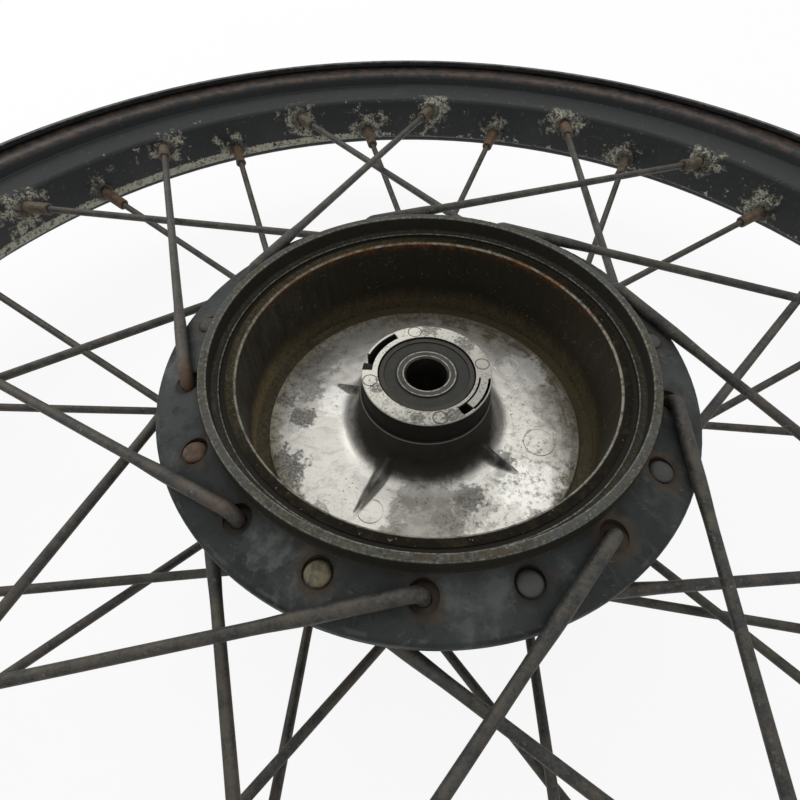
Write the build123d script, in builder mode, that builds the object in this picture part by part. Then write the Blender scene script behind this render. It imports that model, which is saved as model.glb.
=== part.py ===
"""Spoked motorcycle front wheel around a single-sided drum-brake hub.

Units are millimetres. The wheel lies flat: +Z is the axle line and points out of the
brake drum, and the origin is where the axle line meets the rim's middle plane.
"""

import os
from math import asin, atan2, cos, hypot, radians, sin, tan

from build123d import *

# ---- driving dimensions: drum, its recess and its shell ----
drum_radius = 65.0  # inside of the iron liner, 130 mm drum
liner_wall = 3.4
liner_chamfer = 0.7
liner_top_z = 35.3
groove_width = 1.8
groove_depth = 1.6
ring_width = 2.4  # step the brake plate covers
ring_z = 36.0
lip_wall = 2.7
lip_height = 6.4
lip_chamfer = 0.5
shell_wall = 5.2  # round the liner, below the flange
shell_corner = 9.0  # outside, where the shell turns into the web
web_z = 0.6  # drum floor
web_wall = 6.0
web_land_width = 5.0  # the floor next to the liner is machined a little lower
web_land_step = 0.7

# ---- boss, bearing seats and barrel ----
bearing_bore_radius = 7.5  # 6202 bearing
bearing_radius = 17.5
bearing_width = 11.0
ball_radius = 2.976
ball_count = 8
inner_shoulder_gap = 1.75  # from the ball circle to the inner ring's shoulder
outer_shoulder_gap = 2.1
ring_chamfer = 0.6
boss_top_z = 28.0
boss_wall = 5.7  # round the bearing
boss_step = 0.9  # the cast part stands this far out from the turned part
boss_turned_height = 9.8
boss_draft = 1.6
boss_foot_fillet = 5.0
bearing_recess = 0.6
bearing_shoulder = 1.9
far_bearing_z = -56.0  # outer face of the far bearing
far_boss_wall = 8.0
far_boss_height = 1.0  # past the dust seal
barrel_wall = 8.4
back_fillet = 10.0
back_rib_count = 6
back_rib_wall = 4.0
back_rib_reach = 30.0
back_rib_drop = 20.0

# ---- flanges ----
flange_inset = 5.5  # from the lip's outside to the hole circle
flange_margin = 11.2  # from the hole circle to the edge
flange_hole_z = 34.0  # upper face at the hole circle
flange_slope = 18.5  # degrees, falling outwards
flange_wall = 9.0  # at the hole circle
flange_edge = 2.0
far_flange_inset = 17.5
far_flange_margin = 7.0
far_flange_z = -45.3  # outer face at the hole circle
far_flange_slope = 15.0  # degrees, rising outwards
far_flange_wall = 4.2
far_flange_edge = 1.6
holes_per_flange = 18
hole_clearance = 0.25  # round the spoke, in radius
head_clearance = 0.6  # round the spoke head, in radius
seat_depth = 1.5  # of the spoke-head seats in the drum-side flange's upper face
small_seat_depth = 0.75  # of the other seats

# ---- drive slots, ribs and ejector marks inside the drum ----
slot_inner_wall = 1.9  # between bearing and slot
slot_outer_wall = 0.9
slot_depth = 6.5
slot_start = 121.0  # degrees
slot_sweep = 45.0
gate_sweep = 9.0  # end of the slot that is open to the outside
gate_overrun = 2.3
ledge_sweep = 12.0
ledge_depth = 1.4
key_start = -58.0
key_sweep = 12.0
key_inner_wall = 1.0
key_outer_wall = 0.5
key_line = 0.7
land_sweep = 39.0
rib_angles = (-121.0, -38.0, 57.0, 154.0)
rib_reaches = (23.8, 16.8, 16.8, 16.8)  # from the boss
rib_wall = 2.6
rib_height = 9.0
boss_mark_radius = 2.7
boss_mark_inset = 2.8  # from the boss's edge
boss_mark_phase = 11.0
floor_mark_radius = 6.0
floor_mark_circle = 45.0
floor_mark_angles = (-118.0, -15.0, 37.0)
mark_depth = 0.4
mark_line = 0.45

# ---- spokes, nipples and lacing ----
spoke_radius = 1.75
butt_radius = 2.2
butt_length = 26.0
butt_taper = 12.0
head_lip = 1.5  # beyond the butt, in radius
head_height = 1.9
head_crown = 0.8
bend_inner_radius = 1.4
bend_lift = 0.5  # start of the bend above the outer seat
bend_lift_small = 0.2
flange_gap = 0.12  # least, between an outer spoke and the flange it passes
lacing_phase = -12.6  # degrees, first hole whose spoke has its elbow outside
lacing_turn = 60.0  # degrees from hub hole to rim hole, three crossings
nipple_offset = 5.6  # of the two rows, from the rim's middle plane
nipple_wall = 1.4
nipple_head_lip = 1.35
nipple_head_height = 2.6
nipple_square = 5.6
nipple_round_length = 6.0
nipple_length = 17.0
nipple_clearance = 0.2
thread_clearance = 0.03
spoke_end_depth = 1.0  # spoke end below the nipple's seat

# ---- rim, 1.60 x 21 ----
bead_radius = 269.0
rim_wall = 2.0
well_depth = 14.4  # from the bead seat, tyre side
well_half_width = 11.5
bead_inner_half_width = 15.5
rim_half_width = 20.3  # between the flanges
rim_flange_height = 12.6
rim_curl = 3.7
rim_corner = 1.8
valve_hole_radius = 4.25
valve_angle = 192.4
dimple_flare = 1.3  # from nipple head to dimple at the well, tyre side
dimple_land = 2.05  # round the nipple on the dimple's end
dimple_seat = 1.9  # nipple seat below the well surface, along the nipple

# ---- spacer and far dust seal ----
spacer_wall = 2.4
spacer_clearance = 0.1  # of the spacer's bore beyond the bearings'
collar_clearance = 0.4
collar_wall = 2.0
collar_sleeve = 9.0
collar_sleeve_wall = 1.5
seal_bore_radius = 10.4
seal_case_wall = 1.0
seal_height = 6.0
seal_spring_radius = 0.8
fit_gap = 0.02
running_gap = 0.2

# ---- sizes worked out from those above ----
liner_radius = drum_radius + liner_wall
recess_radius = liner_radius + groove_width + ring_width
shell_radius = recess_radius + lip_wall
lip_top_z = ring_z + lip_height
web_land_radius = drum_radius - web_land_width
hole_pitch = 360.0 / holes_per_flange
boss_radius = bearing_radius + boss_wall
hub_bore_radius = bearing_radius - bearing_shoulder
barrel_radius = hub_bore_radius + barrel_wall
far_boss_radius = bearing_radius + far_boss_wall
flange_hole_circle = shell_radius + flange_inset
flange_radius = flange_hole_circle + flange_margin
flange_under_z = flange_hole_z - flange_wall
far_hole_circle = barrel_radius + far_flange_inset
far_flange_radius = far_hole_circle + far_flange_margin
near_bearing_z = boss_top_z - bearing_recess
near_shoulder_z = near_bearing_z - bearing_width
far_shoulder_z = far_bearing_z + bearing_width
far_end_z = far_bearing_z - seal_height - far_boss_height
ball_circle = (bearing_bore_radius + bearing_radius) / 2
inner_shoulder_radius = ball_circle - inner_shoulder_gap
outer_shoulder_radius = ball_circle + outer_shoulder_gap
slot_inner_radius = bearing_radius + slot_inner_wall
slot_outer_radius = boss_radius - slot_outer_wall
key_inner_radius = bearing_radius + key_inner_wall
key_outer_radius = boss_radius - key_outer_wall
gate_reach = boss_radius + gate_overrun
boss_mark_circle = boss_radius - boss_mark_inset
spoke_hole_radius = butt_radius + hole_clearance
bend_radius = butt_radius + bend_inner_radius
head_radius = butt_radius + head_lip
head_seat_radius = head_radius + head_clearance
nipple_radius = spoke_radius + nipple_wall
nipple_head_radius = nipple_radius + nipple_head_lip
well_radius = bead_radius - well_depth
spacer_bore_radius = bearing_bore_radius + spacer_clearance
spacer_radius = spacer_bore_radius + spacer_wall
collar_radius = hub_bore_radius - collar_clearance
flange_fall = tan(radians(flange_slope))
far_flange_rise = tan(radians(far_flange_slope))
near_seat_out = flange_hole_z - seat_depth
near_seat_in = flange_under_z + small_seat_depth
far_seat_out = far_flange_z + small_seat_depth
far_seat_in = far_flange_z + far_flange_wall - small_seat_depth


def face_z(r):
    """Height of the drum-side flange's upper face at radius r."""
    return flange_hole_z - (r - flange_hole_circle) * flange_fall


def far_face_z(r):
    """Height of the far flange's outer face at radius r."""
    return far_flange_z + (r - far_hole_circle) * far_flange_rise


def write(part, name):
    """Label one finished piece and write it as its own STEP file."""
    part.part.label = name
    export_step(part.part, os.path.join("parts", name + ".step"))


# ---- hub casting ----
def hub_casting():
    outer_r = shell_radius
    inner_floor_r = liner_radius
    wall_r = liner_radius + shell_wall
    under_z = web_z - web_wall
    far_phase = lacing_phase + hole_pitch / 2
    ribs = gussets(under_z)
    cuts = [
        spoke_holes(flange_hole_circle, near_seat_out, near_seat_in, lacing_phase),
        spoke_holes(far_hole_circle, far_seat_in, far_seat_out, far_phase),
        drive_slots(),
        ejector_marks(),
    ]
    with BuildPart() as hub:
        with BuildSketch(Plane.XZ) as section:
            with BuildLine():
                Polyline(
                    # bore and near bearing seat
                    (hub_bore_radius, far_shoulder_z),
                    (hub_bore_radius, near_shoulder_z),
                    (bearing_radius, near_shoulder_z),
                    (bearing_radius, boss_top_z),
                    # boss, turned part, step, cast part
                    (boss_radius, boss_top_z),
                    (boss_radius, boss_top_z - boss_turned_height),
                    (boss_radius + boss_step, boss_top_z - boss_turned_height),
                    (boss_radius + boss_step + boss_draft, web_z),
                    # floor of the drum, land, liner seat
                    (web_land_radius, web_z),
                    (web_land_radius, web_z - web_land_step),
                    (inner_floor_r, web_z - web_land_step),
                    (inner_floor_r, liner_top_z - groove_depth),
                    # groove and brake-plate recess
                    (inner_floor_r + groove_width, liner_top_z - groove_depth),
                    (inner_floor_r + groove_width, ring_z),
                    (recess_radius, ring_z),
                    (recess_radius, lip_top_z),
                    (outer_r, lip_top_z),
                    # outside of the shell and the flange
                    (outer_r, face_z(outer_r)),
                    (flange_radius, face_z(flange_radius)),
                    (flange_radius, flange_under_z),
                    (wall_r, flange_under_z),
                    (wall_r, under_z),
                    # barrel, far flange and far boss
                    (barrel_radius, under_z),
                    (barrel_radius, far_face_z(barrel_radius) + far_flange_wall),
                    (far_flange_radius, far_face_z(far_flange_radius) + far_flange_wall),
                    (far_flange_radius, far_face_z(far_flange_radius)),
                    (far_boss_radius, far_face_z(far_boss_radius)),
                    (far_boss_radius, far_end_z),
                    (bearing_radius, far_end_z),
                    (bearing_radius, far_shoulder_z),
                    close=True,
                )
            make_face()
            round_corner(section, boss_radius + boss_step + boss_draft, web_z, boss_foot_fillet)
            round_corner(section, outer_r, face_z(outer_r), 3.5)
            round_corner(section, flange_radius, face_z(flange_radius), flange_edge)
            round_corner(section, flange_radius, flange_under_z, flange_edge)
            round_corner(section, wall_r, flange_under_z, 3.0)
            round_corner(section, wall_r, under_z, shell_corner)
            round_corner(section, barrel_radius, under_z, back_fillet)
            round_corner(section, barrel_radius, far_face_z(barrel_radius) + far_flange_wall, 4.0)
            far_top = far_face_z(far_flange_radius) + far_flange_wall
            round_corner(section, far_flange_radius, far_top, far_flange_edge)
            round_corner(section, far_flange_radius, far_face_z(far_flange_radius), far_flange_edge)
            round_corner(section, far_boss_radius, far_face_z(far_boss_radius), 3.0)
            round_corner(section, far_boss_radius, far_end_z, 1.0)
            round_corner(section, outer_r, lip_top_z, lip_chamfer)
            round_corner(section, recess_radius, lip_top_z, lip_chamfer)
            round_corner(section, boss_radius, boss_top_z, 0.4)
        revolve(axis=Axis.Z)
        add(ribs)
        add(cuts, mode=Mode.SUBTRACT)
    write(hub, "hub_casting")
    return hub


def round_corner(section, r, z, radius):
    """Fillet the corner of the half section that stands at radius r and height z."""
    corner = section.vertices().sort_by_distance(Vector(r, z, 0))[0]
    fillet(corner, radius)


def gussets(under_z):
    """The ribs behind the web, and the small ones between boss and drum floor."""
    behind = [
        (barrel_radius - 2, under_z + 1),
        (barrel_radius + back_rib_reach, under_z + 1),
        (barrel_radius + back_rib_reach, under_z),
        (barrel_radius, under_z - back_rib_drop),
        (barrel_radius - 2, under_z - back_rib_drop),
    ]
    ribs = [(360 / back_rib_count * n, back_rib_wall, behind) for n in range(back_rib_count)]
    for angle, reach in zip(rib_angles, rib_reaches):
        before = [
            (boss_radius - 1, web_z - 1),
            (boss_radius + reach, web_z - 1),
            (boss_radius + reach, web_z),
            (boss_radius + boss_step, web_z + rib_height),
            (boss_radius - 1, web_z + rib_height),
        ]
        ribs.append((angle, rib_wall, before))
    with BuildPart() as fins:
        for angle, wall, outline in ribs:
            level = Vector(1, 0, 0).rotate(Axis.Z, angle)
            with BuildSketch(Plane((0, 0, 0), x_dir=level, z_dir=level.cross(Vector(0, 0, 1)))):
                with BuildLine():
                    Polyline(*outline, close=True)
                make_face()
            extrude(amount=wall / 2, both=True)
    return fins.part


def spoke_holes(circle, upper_seat, lower_seat, phase):
    """Spoke holes with a flat seat for a spoke head on both faces of a flange."""
    reach = 8.0
    with BuildPart() as drill:
        for low, high, radius in (
            (lower_seat, upper_seat, spoke_hole_radius),
            (upper_seat, upper_seat + reach, head_seat_radius),
            (lower_seat - reach, lower_seat, head_seat_radius),
        ):
            with BuildSketch(Plane.XY.offset(low)):
                with PolarLocations(circle, holes_per_flange, phase):
                    Circle(radius)
            extrude(amount=high - low)
    return drill.part


def drive_slots():
    """Curved slots in the boss face for the speedometer drive, with a gate and a ledge."""
    slot_end = slot_start + slot_sweep
    key_end = key_start + key_sweep
    with BuildPart() as slots:
        for inner, outer, start, sweep, depth in (
            (slot_inner_radius, slot_outer_radius, slot_start, slot_sweep, slot_depth),
            (slot_inner_radius, gate_reach, slot_end - gate_sweep, gate_sweep, slot_depth),
            (slot_inner_radius, gate_reach, slot_end - 0.5, ledge_sweep, ledge_depth),
            (key_inner_radius, slot_outer_radius, key_start, key_sweep, slot_depth),
            (slot_outer_radius - 0.5, key_outer_radius, key_end - 0.5, land_sweep, slot_depth),
            (key_inner_radius, key_inner_radius + 0.7, key_end - 0.5, land_sweep, ledge_depth),
        ):
            with BuildSketch(Plane.XY.offset(boss_top_z)):
                with BuildLine():
                    near_arc = CenterArc((0, 0), inner, start, sweep)
                    far_arc = CenterArc((0, 0), outer, start, sweep)
                    Line(near_arc @ 0, far_arc @ 0)
                    Line(near_arc @ 1, far_arc @ 1)
                make_face()
            extrude(amount=-depth)
    return slots.part


def ejector_marks():
    """Fine circular grooves on the boss face and the drum floor."""
    boss_angles = [boss_mark_phase + 90 * n for n in range(4)]
    with BuildPart() as marks:
        for height, circle, radius, angles in (
            (boss_top_z, boss_mark_circle, boss_mark_radius, boss_angles),
            (web_z, floor_mark_circle, floor_mark_radius, floor_mark_angles),
        ):
            with BuildSketch(Plane.XY.offset(height)):
                for angle in angles:
                    with PolarLocations(circle, 1, angle):
                        Circle(radius)
                        Circle(radius - mark_line, mode=Mode.SUBTRACT)
            extrude(amount=-mark_depth)
    return marks.part


def brake_liner():
    """Iron braking ring cast into the drum, standing on the lowered floor land."""
    with BuildPart() as liner:
        with BuildSketch(Plane.XZ):
            with Locations((drum_radius, web_z - web_land_step)):
                height = liner_top_z - web_z + web_land_step
                Rectangle(liner_wall, height, align=(Align.MIN, Align.MIN))
        revolve(axis=Axis.Z)
        top = liner.edges().filter_by(GeomType.CIRCLE).group_by(Axis.Z)[-1].sort_by(SortBy.RADIUS)[0]
        chamfer(top, liner_chamfer)
    write(liner, "brake_liner")


# ---- bearings ----
def bearing(side, face_z_out, out):
    """One sealed ball bearing. out is +1 or -1: the way its outer face looks."""
    middle = face_z_out - out * bearing_width / 2
    half = bearing_width / 2
    race_radius = ball_radius + fit_gap
    seal_wall = 0.8
    seal_seat = 0.35  # seal below the ring's face
    seal_rim = 0.7  # groove in the outer ring that holds the seal
    centre = Plane.XZ.offset(0)

    with BuildPart() as outer_ring:
        with BuildSketch(centre):
            with Locations((outer_shoulder_radius, middle)):
                wall = bearing_radius - outer_shoulder_radius
                Rectangle(wall, bearing_width, align=(Align.MIN, Align.CENTER))
            with Locations((ball_circle, middle)):
                Circle(race_radius, mode=Mode.SUBTRACT)
            for end in (-1, 1):
                with Locations((outer_shoulder_radius, middle + end * (half - (seal_seat + seal_wall) / 2))):
                    Rectangle(seal_rim * 2, seal_seat + seal_wall, mode=Mode.SUBTRACT)
        revolve(axis=Axis.Z)
        rims = outer_ring.edges().filter_by(GeomType.CIRCLE).sort_by(SortBy.RADIUS)
        ends = [e for e in rims if abs(e.radius - bearing_radius) < 1e-6]
        chamfer(ends, ring_chamfer)
    write(outer_ring, f"{side}_bearing_outer_ring")

    with BuildPart() as inner_ring:
        with BuildSketch(centre):
            with Locations((bearing_bore_radius, middle)):
                wall = inner_shoulder_radius - bearing_bore_radius
                Rectangle(wall, bearing_width, align=(Align.MIN, Align.CENTER))
            with Locations((ball_circle, middle)):
                Circle(race_radius, mode=Mode.SUBTRACT)
        revolve(axis=Axis.Z)
        rims = inner_ring.edges().filter_by(GeomType.CIRCLE).sort_by(SortBy.RADIUS)
        ends = [e for e in rims if abs(e.radius - bearing_bore_radius) < 1e-6]
        chamfer(ends, ring_chamfer)
    write(inner_ring, f"{side}_bearing_inner_ring")

    with BuildPart() as balls:
        with Locations((0, 0, middle)):
            with PolarLocations(ball_circle, ball_count):
                Sphere(ball_radius)
    write(balls, f"{side}_bearing_balls")

    cage_height = 2 * (ball_radius + 0.85)
    with BuildPart() as cage:
        with BuildSketch(Plane.XY.offset(middle - cage_height / 2)):
            Circle(ball_circle + 0.65)
            Circle(ball_circle - 0.65, mode=Mode.SUBTRACT)
        extrude(amount=cage_height)
        for n in range(ball_count):
            spin = Vector(1, 0, 0).rotate(Axis.Z, 360 / ball_count * n)
            with BuildSketch(Plane((0, 0, middle), z_dir=spin)):
                Circle(ball_radius + running_gap / 2)
            extrude(amount=ball_circle + 3, mode=Mode.SUBTRACT)
    write(cage, f"{side}_bearing_cage")

    for end, word in ((out, "outer"), (-out, "inner")):
        face = middle + end * (half - seal_seat)
        with BuildPart() as seal:
            with BuildSketch(Plane.XY.offset(min(face, face - end * seal_wall))):
                Circle(outer_shoulder_radius + seal_rim - fit_gap)
                Circle(inner_shoulder_radius + running_gap, mode=Mode.SUBTRACT)
            extrude(amount=seal_wall)
        write(seal, f"{side}_bearing_{word}_seal")


# ---- spacer and dust seal ----
def spacer():
    with BuildPart() as tube:
        with BuildSketch(Plane.XY.offset(far_shoulder_z)):
            Circle(spacer_radius)
            Circle(spacer_bore_radius, mode=Mode.SUBTRACT)
        extrude(amount=near_shoulder_z - far_shoulder_z)
        ends = tube.edges().filter_by(GeomType.CIRCLE)
        chamfer([e for e in ends if abs(e.radius - spacer_radius) < 1e-6], 0.5)
    write(tube, "spacer_tube")

    collar_z = near_shoulder_z - 6
    with BuildPart() as collar:
        with BuildSketch(Plane.XY.offset(collar_z)):
            Circle(collar_radius)
            Circle(spacer_radius + fit_gap, mode=Mode.SUBTRACT)
        extrude(amount=collar_wall)
        with BuildSketch(Plane.XY.offset(collar_z)):
            Circle(spacer_radius + collar_sleeve_wall)
            Circle(spacer_radius + fit_gap, mode=Mode.SUBTRACT)
        extrude(amount=-collar_sleeve)
    write(collar, "spacer_collar")


def dust_seal():
    """Steel case, rubber body with its lip, and garter spring, in the far end's bore."""
    top = far_bearing_z
    bottom = top - seal_height
    case_outer = bearing_radius - fit_gap
    spring_circle = seal_bore_radius + 2.2
    with BuildPart() as case:
        with BuildSketch(Plane.XZ):
            with BuildLine():
                Polyline(
                    (case_outer, top),
                    (case_outer, bottom),
                    (seal_bore_radius + 3.6, bottom),
                    (seal_bore_radius + 3.6, bottom + seal_case_wall),
                    (case_outer - seal_case_wall, bottom + seal_case_wall),
                    (case_outer - seal_case_wall, top),
                    close=True,
                )
            make_face()
        revolve(axis=Axis.Z)
    write(case, "dust_seal_case")

    with BuildPart() as body:
        with BuildSketch(Plane.XZ):
            with BuildLine():
                Polyline(
                    (case_outer - seal_case_wall, bottom + seal_case_wall),
                    (seal_bore_radius + 3.6, bottom + seal_case_wall),
                    (seal_bore_radius + 3.6, bottom),
                    (seal_bore_radius + 0.9, bottom),
                    (seal_bore_radius + 0.5, bottom + 1.6),
                    (seal_bore_radius, bottom + 3.4),
                    (seal_bore_radius + 0.6, bottom + 4.8),
                    (seal_bore_radius + 3.2, bottom + 4.8),
                    (seal_bore_radius + 3.2, bottom + 2.2),
                    (case_outer - seal_case_wall, bottom + 2.2),
                    close=True,
                )
            make_face()
            with Locations((spring_circle, bottom + 3.6)):
                Circle(seal_spring_radius + fit_gap, mode=Mode.SUBTRACT)
        revolve(axis=Axis.Z)
    write(body, "dust_seal_lip")

    with BuildPart() as spring:
        with BuildSketch(Plane.XZ):
            with Locations((spring_circle, bottom + 3.6)):
                Circle(seal_spring_radius)
        revolve(axis=Axis.Z)
    write(spring, "dust_seal_spring")


# ---- lacing ----
class Lace:
    """One spoke of a family: its hole, the upright plane that holds it, its nipple's place.

    In the upright plane x runs level from the hole towards the nipple and y is height,
    turned over for a spoke whose elbow looks down.
    """

    def __init__(self, circle, hole_angle, seat_z, bend_z, elbow, turn, nipple_z):
        hole = Vector(circle, 0, 0).rotate(Axis.Z, hole_angle)
        nipple = Vector(well_radius, 0, nipple_z).rotate(Axis.Z, hole_angle + turn)
        level = Vector(nipple.X - hole.X, nipple.Y - hole.Y, 0)
        up = Vector(0, 0, elbow)
        self.elbow = elbow
        self.plane = Plane(hole, x_dir=level, z_dir=level.cross(up))
        self.seat = seat_z * elbow
        self.bend = bend_z * elbow
        self.end = Vector(level.length, nipple_z * elbow)
        run = self.end.X - bend_radius
        rise = self.end.Y - self.bend
        self.fall = asin(bend_radius / hypot(run, rise)) - atan2(rise, run)
        self.along = Vector(cos(self.fall), -sin(self.fall))
        self.knee = Vector(bend_radius * (1 + sin(self.fall)), self.bend + bend_radius * cos(self.fall))
        self.direction = (self.place(self.end) - self.place(self.knee)).normalized()

    def place(self, point):
        """A point of the upright plane, in the wheel's frame."""
        return self.plane.from_local_coords(point)

    def cross(self, distance):
        """The plane across the spoke at a distance past the bend, looking at the rim."""
        return Plane(self.place(self.knee + self.along * distance), z_dir=self.direction)

    def nipple(self, distance):
        """The plane across the nipple, at a distance outwards from its seat."""
        return Plane(self.place(self.end + self.along * (distance - dimple_seat)), z_dir=self.direction)


def room_over_flange(lace):
    """Least room between a spoke and the drum-side flange's upper face under it."""
    room = flange_gap
    for distance in range(int(flange_radius)):
        point = lace.place(lace.knee + lace.along * distance)
        reach = hypot(point.X, point.Y)
        if reach < flange_radius:
            height = (point.Z - face_z(reach)) * cos(radians(flange_slope))
            room = min(room, height - butt_radius)
    return room


def lacing():
    """The four families: both flanges, elbow outside and elbow inside."""
    phase = lacing_phase
    far_phase = phase + hole_pitch / 2
    turn = lacing_turn
    near_row = nipple_offset
    far_row = -nipple_offset
    near_out = near_seat_out + bend_lift
    near_in = near_seat_in - bend_lift_small
    far_out = far_seat_out
    far_in = far_seat_in + bend_lift_small
    level = Lace(flange_hole_circle, phase, near_seat_in, near_out, 1, -turn, near_row)
    near_out += (flange_gap - room_over_flange(level)) / cos(radians(flange_slope))
    return {
        "near_outer": Lace(flange_hole_circle, phase, near_seat_in, near_out, 1, -turn, near_row),
        "near_inner": Lace(flange_hole_circle, phase + hole_pitch, near_seat_out, near_in, -1, turn, near_row),
        "far_outer": Lace(far_hole_circle, far_phase, far_seat_in, far_out, -1, turn, far_row),
        "far_inner": Lace(far_hole_circle, far_phase + hole_pitch, far_seat_out, far_in, 1, -turn, far_row),
    }


def spokes(lace, name):
    half = (radians(90) + lace.fall) / 2
    start = Vector(0, lace.seat - 0.2)
    bend_start = Vector(0, lace.bend)
    bend_middle = Vector(bend_radius * (1 - cos(half)), lace.bend + bend_radius * sin(half))
    butt_end = lace.knee + lace.along * butt_length
    tip = lace.nipple(-spoke_end_depth)
    taper_end = lace.cross(butt_length + butt_taper)
    shank = Plane(lace.place(Vector(0, lace.seat)), z_dir=(0, 0, -lace.elbow))
    with BuildPart() as one:
        with BuildLine() as route:
            Line(lace.place(start), lace.place(bend_start))
            ThreePointArc(lace.place(bend_start), lace.place(bend_middle), lace.place(lace.knee))
            Line(lace.place(lace.knee), lace.place(butt_end))
        with BuildSketch(Plane(lace.place(start), z_dir=(0, 0, lace.elbow))):
            Circle(butt_radius)
        sweep(path=route.wires()[0])
        with BuildSketch(lace.cross(butt_length)):
            Circle(butt_radius)
        with BuildSketch(taper_end):
            Circle(spoke_radius)
        loft()
        with BuildSketch(taper_end):
            Circle(spoke_radius)
        extrude(amount=(tip.origin - taper_end.origin).length)
        with BuildSketch(shank):
            Circle(head_radius)
        extrude(amount=head_height - head_crown)
        with BuildSketch(shank.offset(head_height - head_crown)):
            Circle(head_radius)
        extrude(amount=head_crown, taper=40)
    with BuildPart() as family:
        with PolarLocations(0, holes_per_flange // 2):
            add(one.part)
    write(family, name)


def nipples(laces, name):
    with BuildPart() as pair:
        for lace in laces:
            with BuildSketch(lace.nipple(0)):
                Circle(nipple_head_radius)
            extrude(amount=nipple_head_height, taper=12)
            with BuildSketch(lace.nipple(0)):
                Circle(nipple_radius)
            extrude(amount=-nipple_round_length)
            with BuildSketch(lace.nipple(-nipple_round_length)):
                Circle(nipple_radius)
                Rectangle(nipple_square, nipple_square, mode=Mode.INTERSECT)
            extrude(amount=nipple_round_length - nipple_length)
            with BuildSketch(lace.nipple(nipple_head_height)):
                Circle(spoke_radius + thread_clearance)
            extrude(amount=-nipple_head_height - nipple_length, mode=Mode.SUBTRACT)
    with BuildPart() as row:
        with PolarLocations(0, holes_per_flange // 2):
            add(pair.part)
    write(row, name)


# ---- rim ----
def dimples(laces, end_radius, base_radius, depth, top):
    """Cones round the nipples of every family, from depth below the seat to the well."""
    with BuildPart() as cones:
        for lace in laces:
            with BuildSketch(lace.nipple(-depth)):
                Circle(end_radius)
            with BuildSketch(lace.nipple(dimple_seat + 2)):
                Circle(base_radius)
            loft()
    with BuildPart() as ring:
        with PolarLocations(0, holes_per_flange // 2):
            add(cones.part)
        Cylinder(top, 2 * rim_half_width, mode=Mode.INTERSECT)
    return ring.part


def rim(laces):
    middle = rim_wall / 2
    flange_z = rim_half_width + middle
    curl_z = flange_z + rim_curl
    half = [
        (well_radius - middle, well_half_width),
        (bead_radius - middle - 1, bead_inner_half_width),
        (bead_radius - middle, flange_z),
        (bead_radius + rim_flange_height, flange_z),
        (bead_radius + rim_flange_height, curl_z),
        (bead_radius + rim_flange_height - rim_curl, curl_z),
    ]
    other_half = [(r, -z) for r, z in reversed(half)]
    head_room = nipple_head_radius + nipple_clearance
    dimple_radius = head_room + dimple_flare
    end_radius = nipple_radius + dimple_land
    outside = dimples(laces, end_radius, dimple_radius + rim_wall, rim_wall, well_radius - 0.3)
    inside = dimples(laces, head_room, dimple_radius, 0, well_radius + 4)
    with BuildPart() as bores:
        for lace in laces:
            with BuildSketch(lace.nipple(1)):
                Circle(nipple_radius + nipple_clearance)
            extrude(amount=-6)
    with BuildPart() as hoop:
        with BuildSketch(Plane.XZ):
            with BuildLine():
                FilletPolyline(*other_half, *half, radius=rim_corner)
            trace(line_width=rim_wall)
        revolve(axis=Axis.Z)
        add(outside)
        add(inside, mode=Mode.SUBTRACT)
        with PolarLocations(0, holes_per_flange // 2):
            add(bores.part, mode=Mode.SUBTRACT)
        valve = Vector(1, 0, 0).rotate(Axis.Z, valve_angle)
        with BuildSketch(Plane(valve * (well_radius - 8), z_dir=valve)):
            Circle(valve_hole_radius)
        extrude(amount=16, mode=Mode.SUBTRACT)
    write(hoop, "rim")


def main():
    os.makedirs("parts", exist_ok=True)
    hub_casting()
    brake_liner()
    bearing("near", near_bearing_z, 1)
    bearing("far", far_bearing_z, -1)
    spacer()
    dust_seal()
    laces = lacing()
    for family, lace in laces.items():
        spokes(lace, "spokes_" + family)
    nipples([laces["near_outer"], laces["near_inner"]], "nipples_near_row")
    nipples([laces["far_outer"], laces["far_inner"]], "nipples_far_row")
    rim(laces.values())


main()
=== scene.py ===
"""Spoked motorcycle wheel with an open drum-brake hub: its finishes, wires and stage."""

import math
from types import SimpleNamespace

import bmesh
import bpy
from bpy.props import FloatProperty, FloatVectorProperty, IntProperty, PointerProperty
from mathutils import Matrix, Vector, noise


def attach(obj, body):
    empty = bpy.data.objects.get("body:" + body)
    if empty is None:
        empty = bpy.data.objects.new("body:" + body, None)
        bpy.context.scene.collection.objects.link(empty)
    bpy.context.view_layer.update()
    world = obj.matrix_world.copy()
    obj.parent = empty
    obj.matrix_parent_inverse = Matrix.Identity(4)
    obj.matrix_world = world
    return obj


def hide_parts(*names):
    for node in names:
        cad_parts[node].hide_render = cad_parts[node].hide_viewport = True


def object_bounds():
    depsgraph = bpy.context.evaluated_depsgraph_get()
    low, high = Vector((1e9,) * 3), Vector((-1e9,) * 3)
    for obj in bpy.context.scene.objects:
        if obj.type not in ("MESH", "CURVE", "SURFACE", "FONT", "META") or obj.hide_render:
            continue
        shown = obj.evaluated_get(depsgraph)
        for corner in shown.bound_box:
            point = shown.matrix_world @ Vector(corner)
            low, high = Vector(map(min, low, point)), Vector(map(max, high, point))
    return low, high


bl_info = {
    "name": "Spoked Wheel",
    "version": (1, 0, 0),
    "blender": (4, 5, 0),
    "location": "View3D > Sidebar > Wheel",
    "description": "Finishes, wire spokes, nipples and stage of a spoked drum-brake wheel",
    "category": "Object",
}

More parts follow.
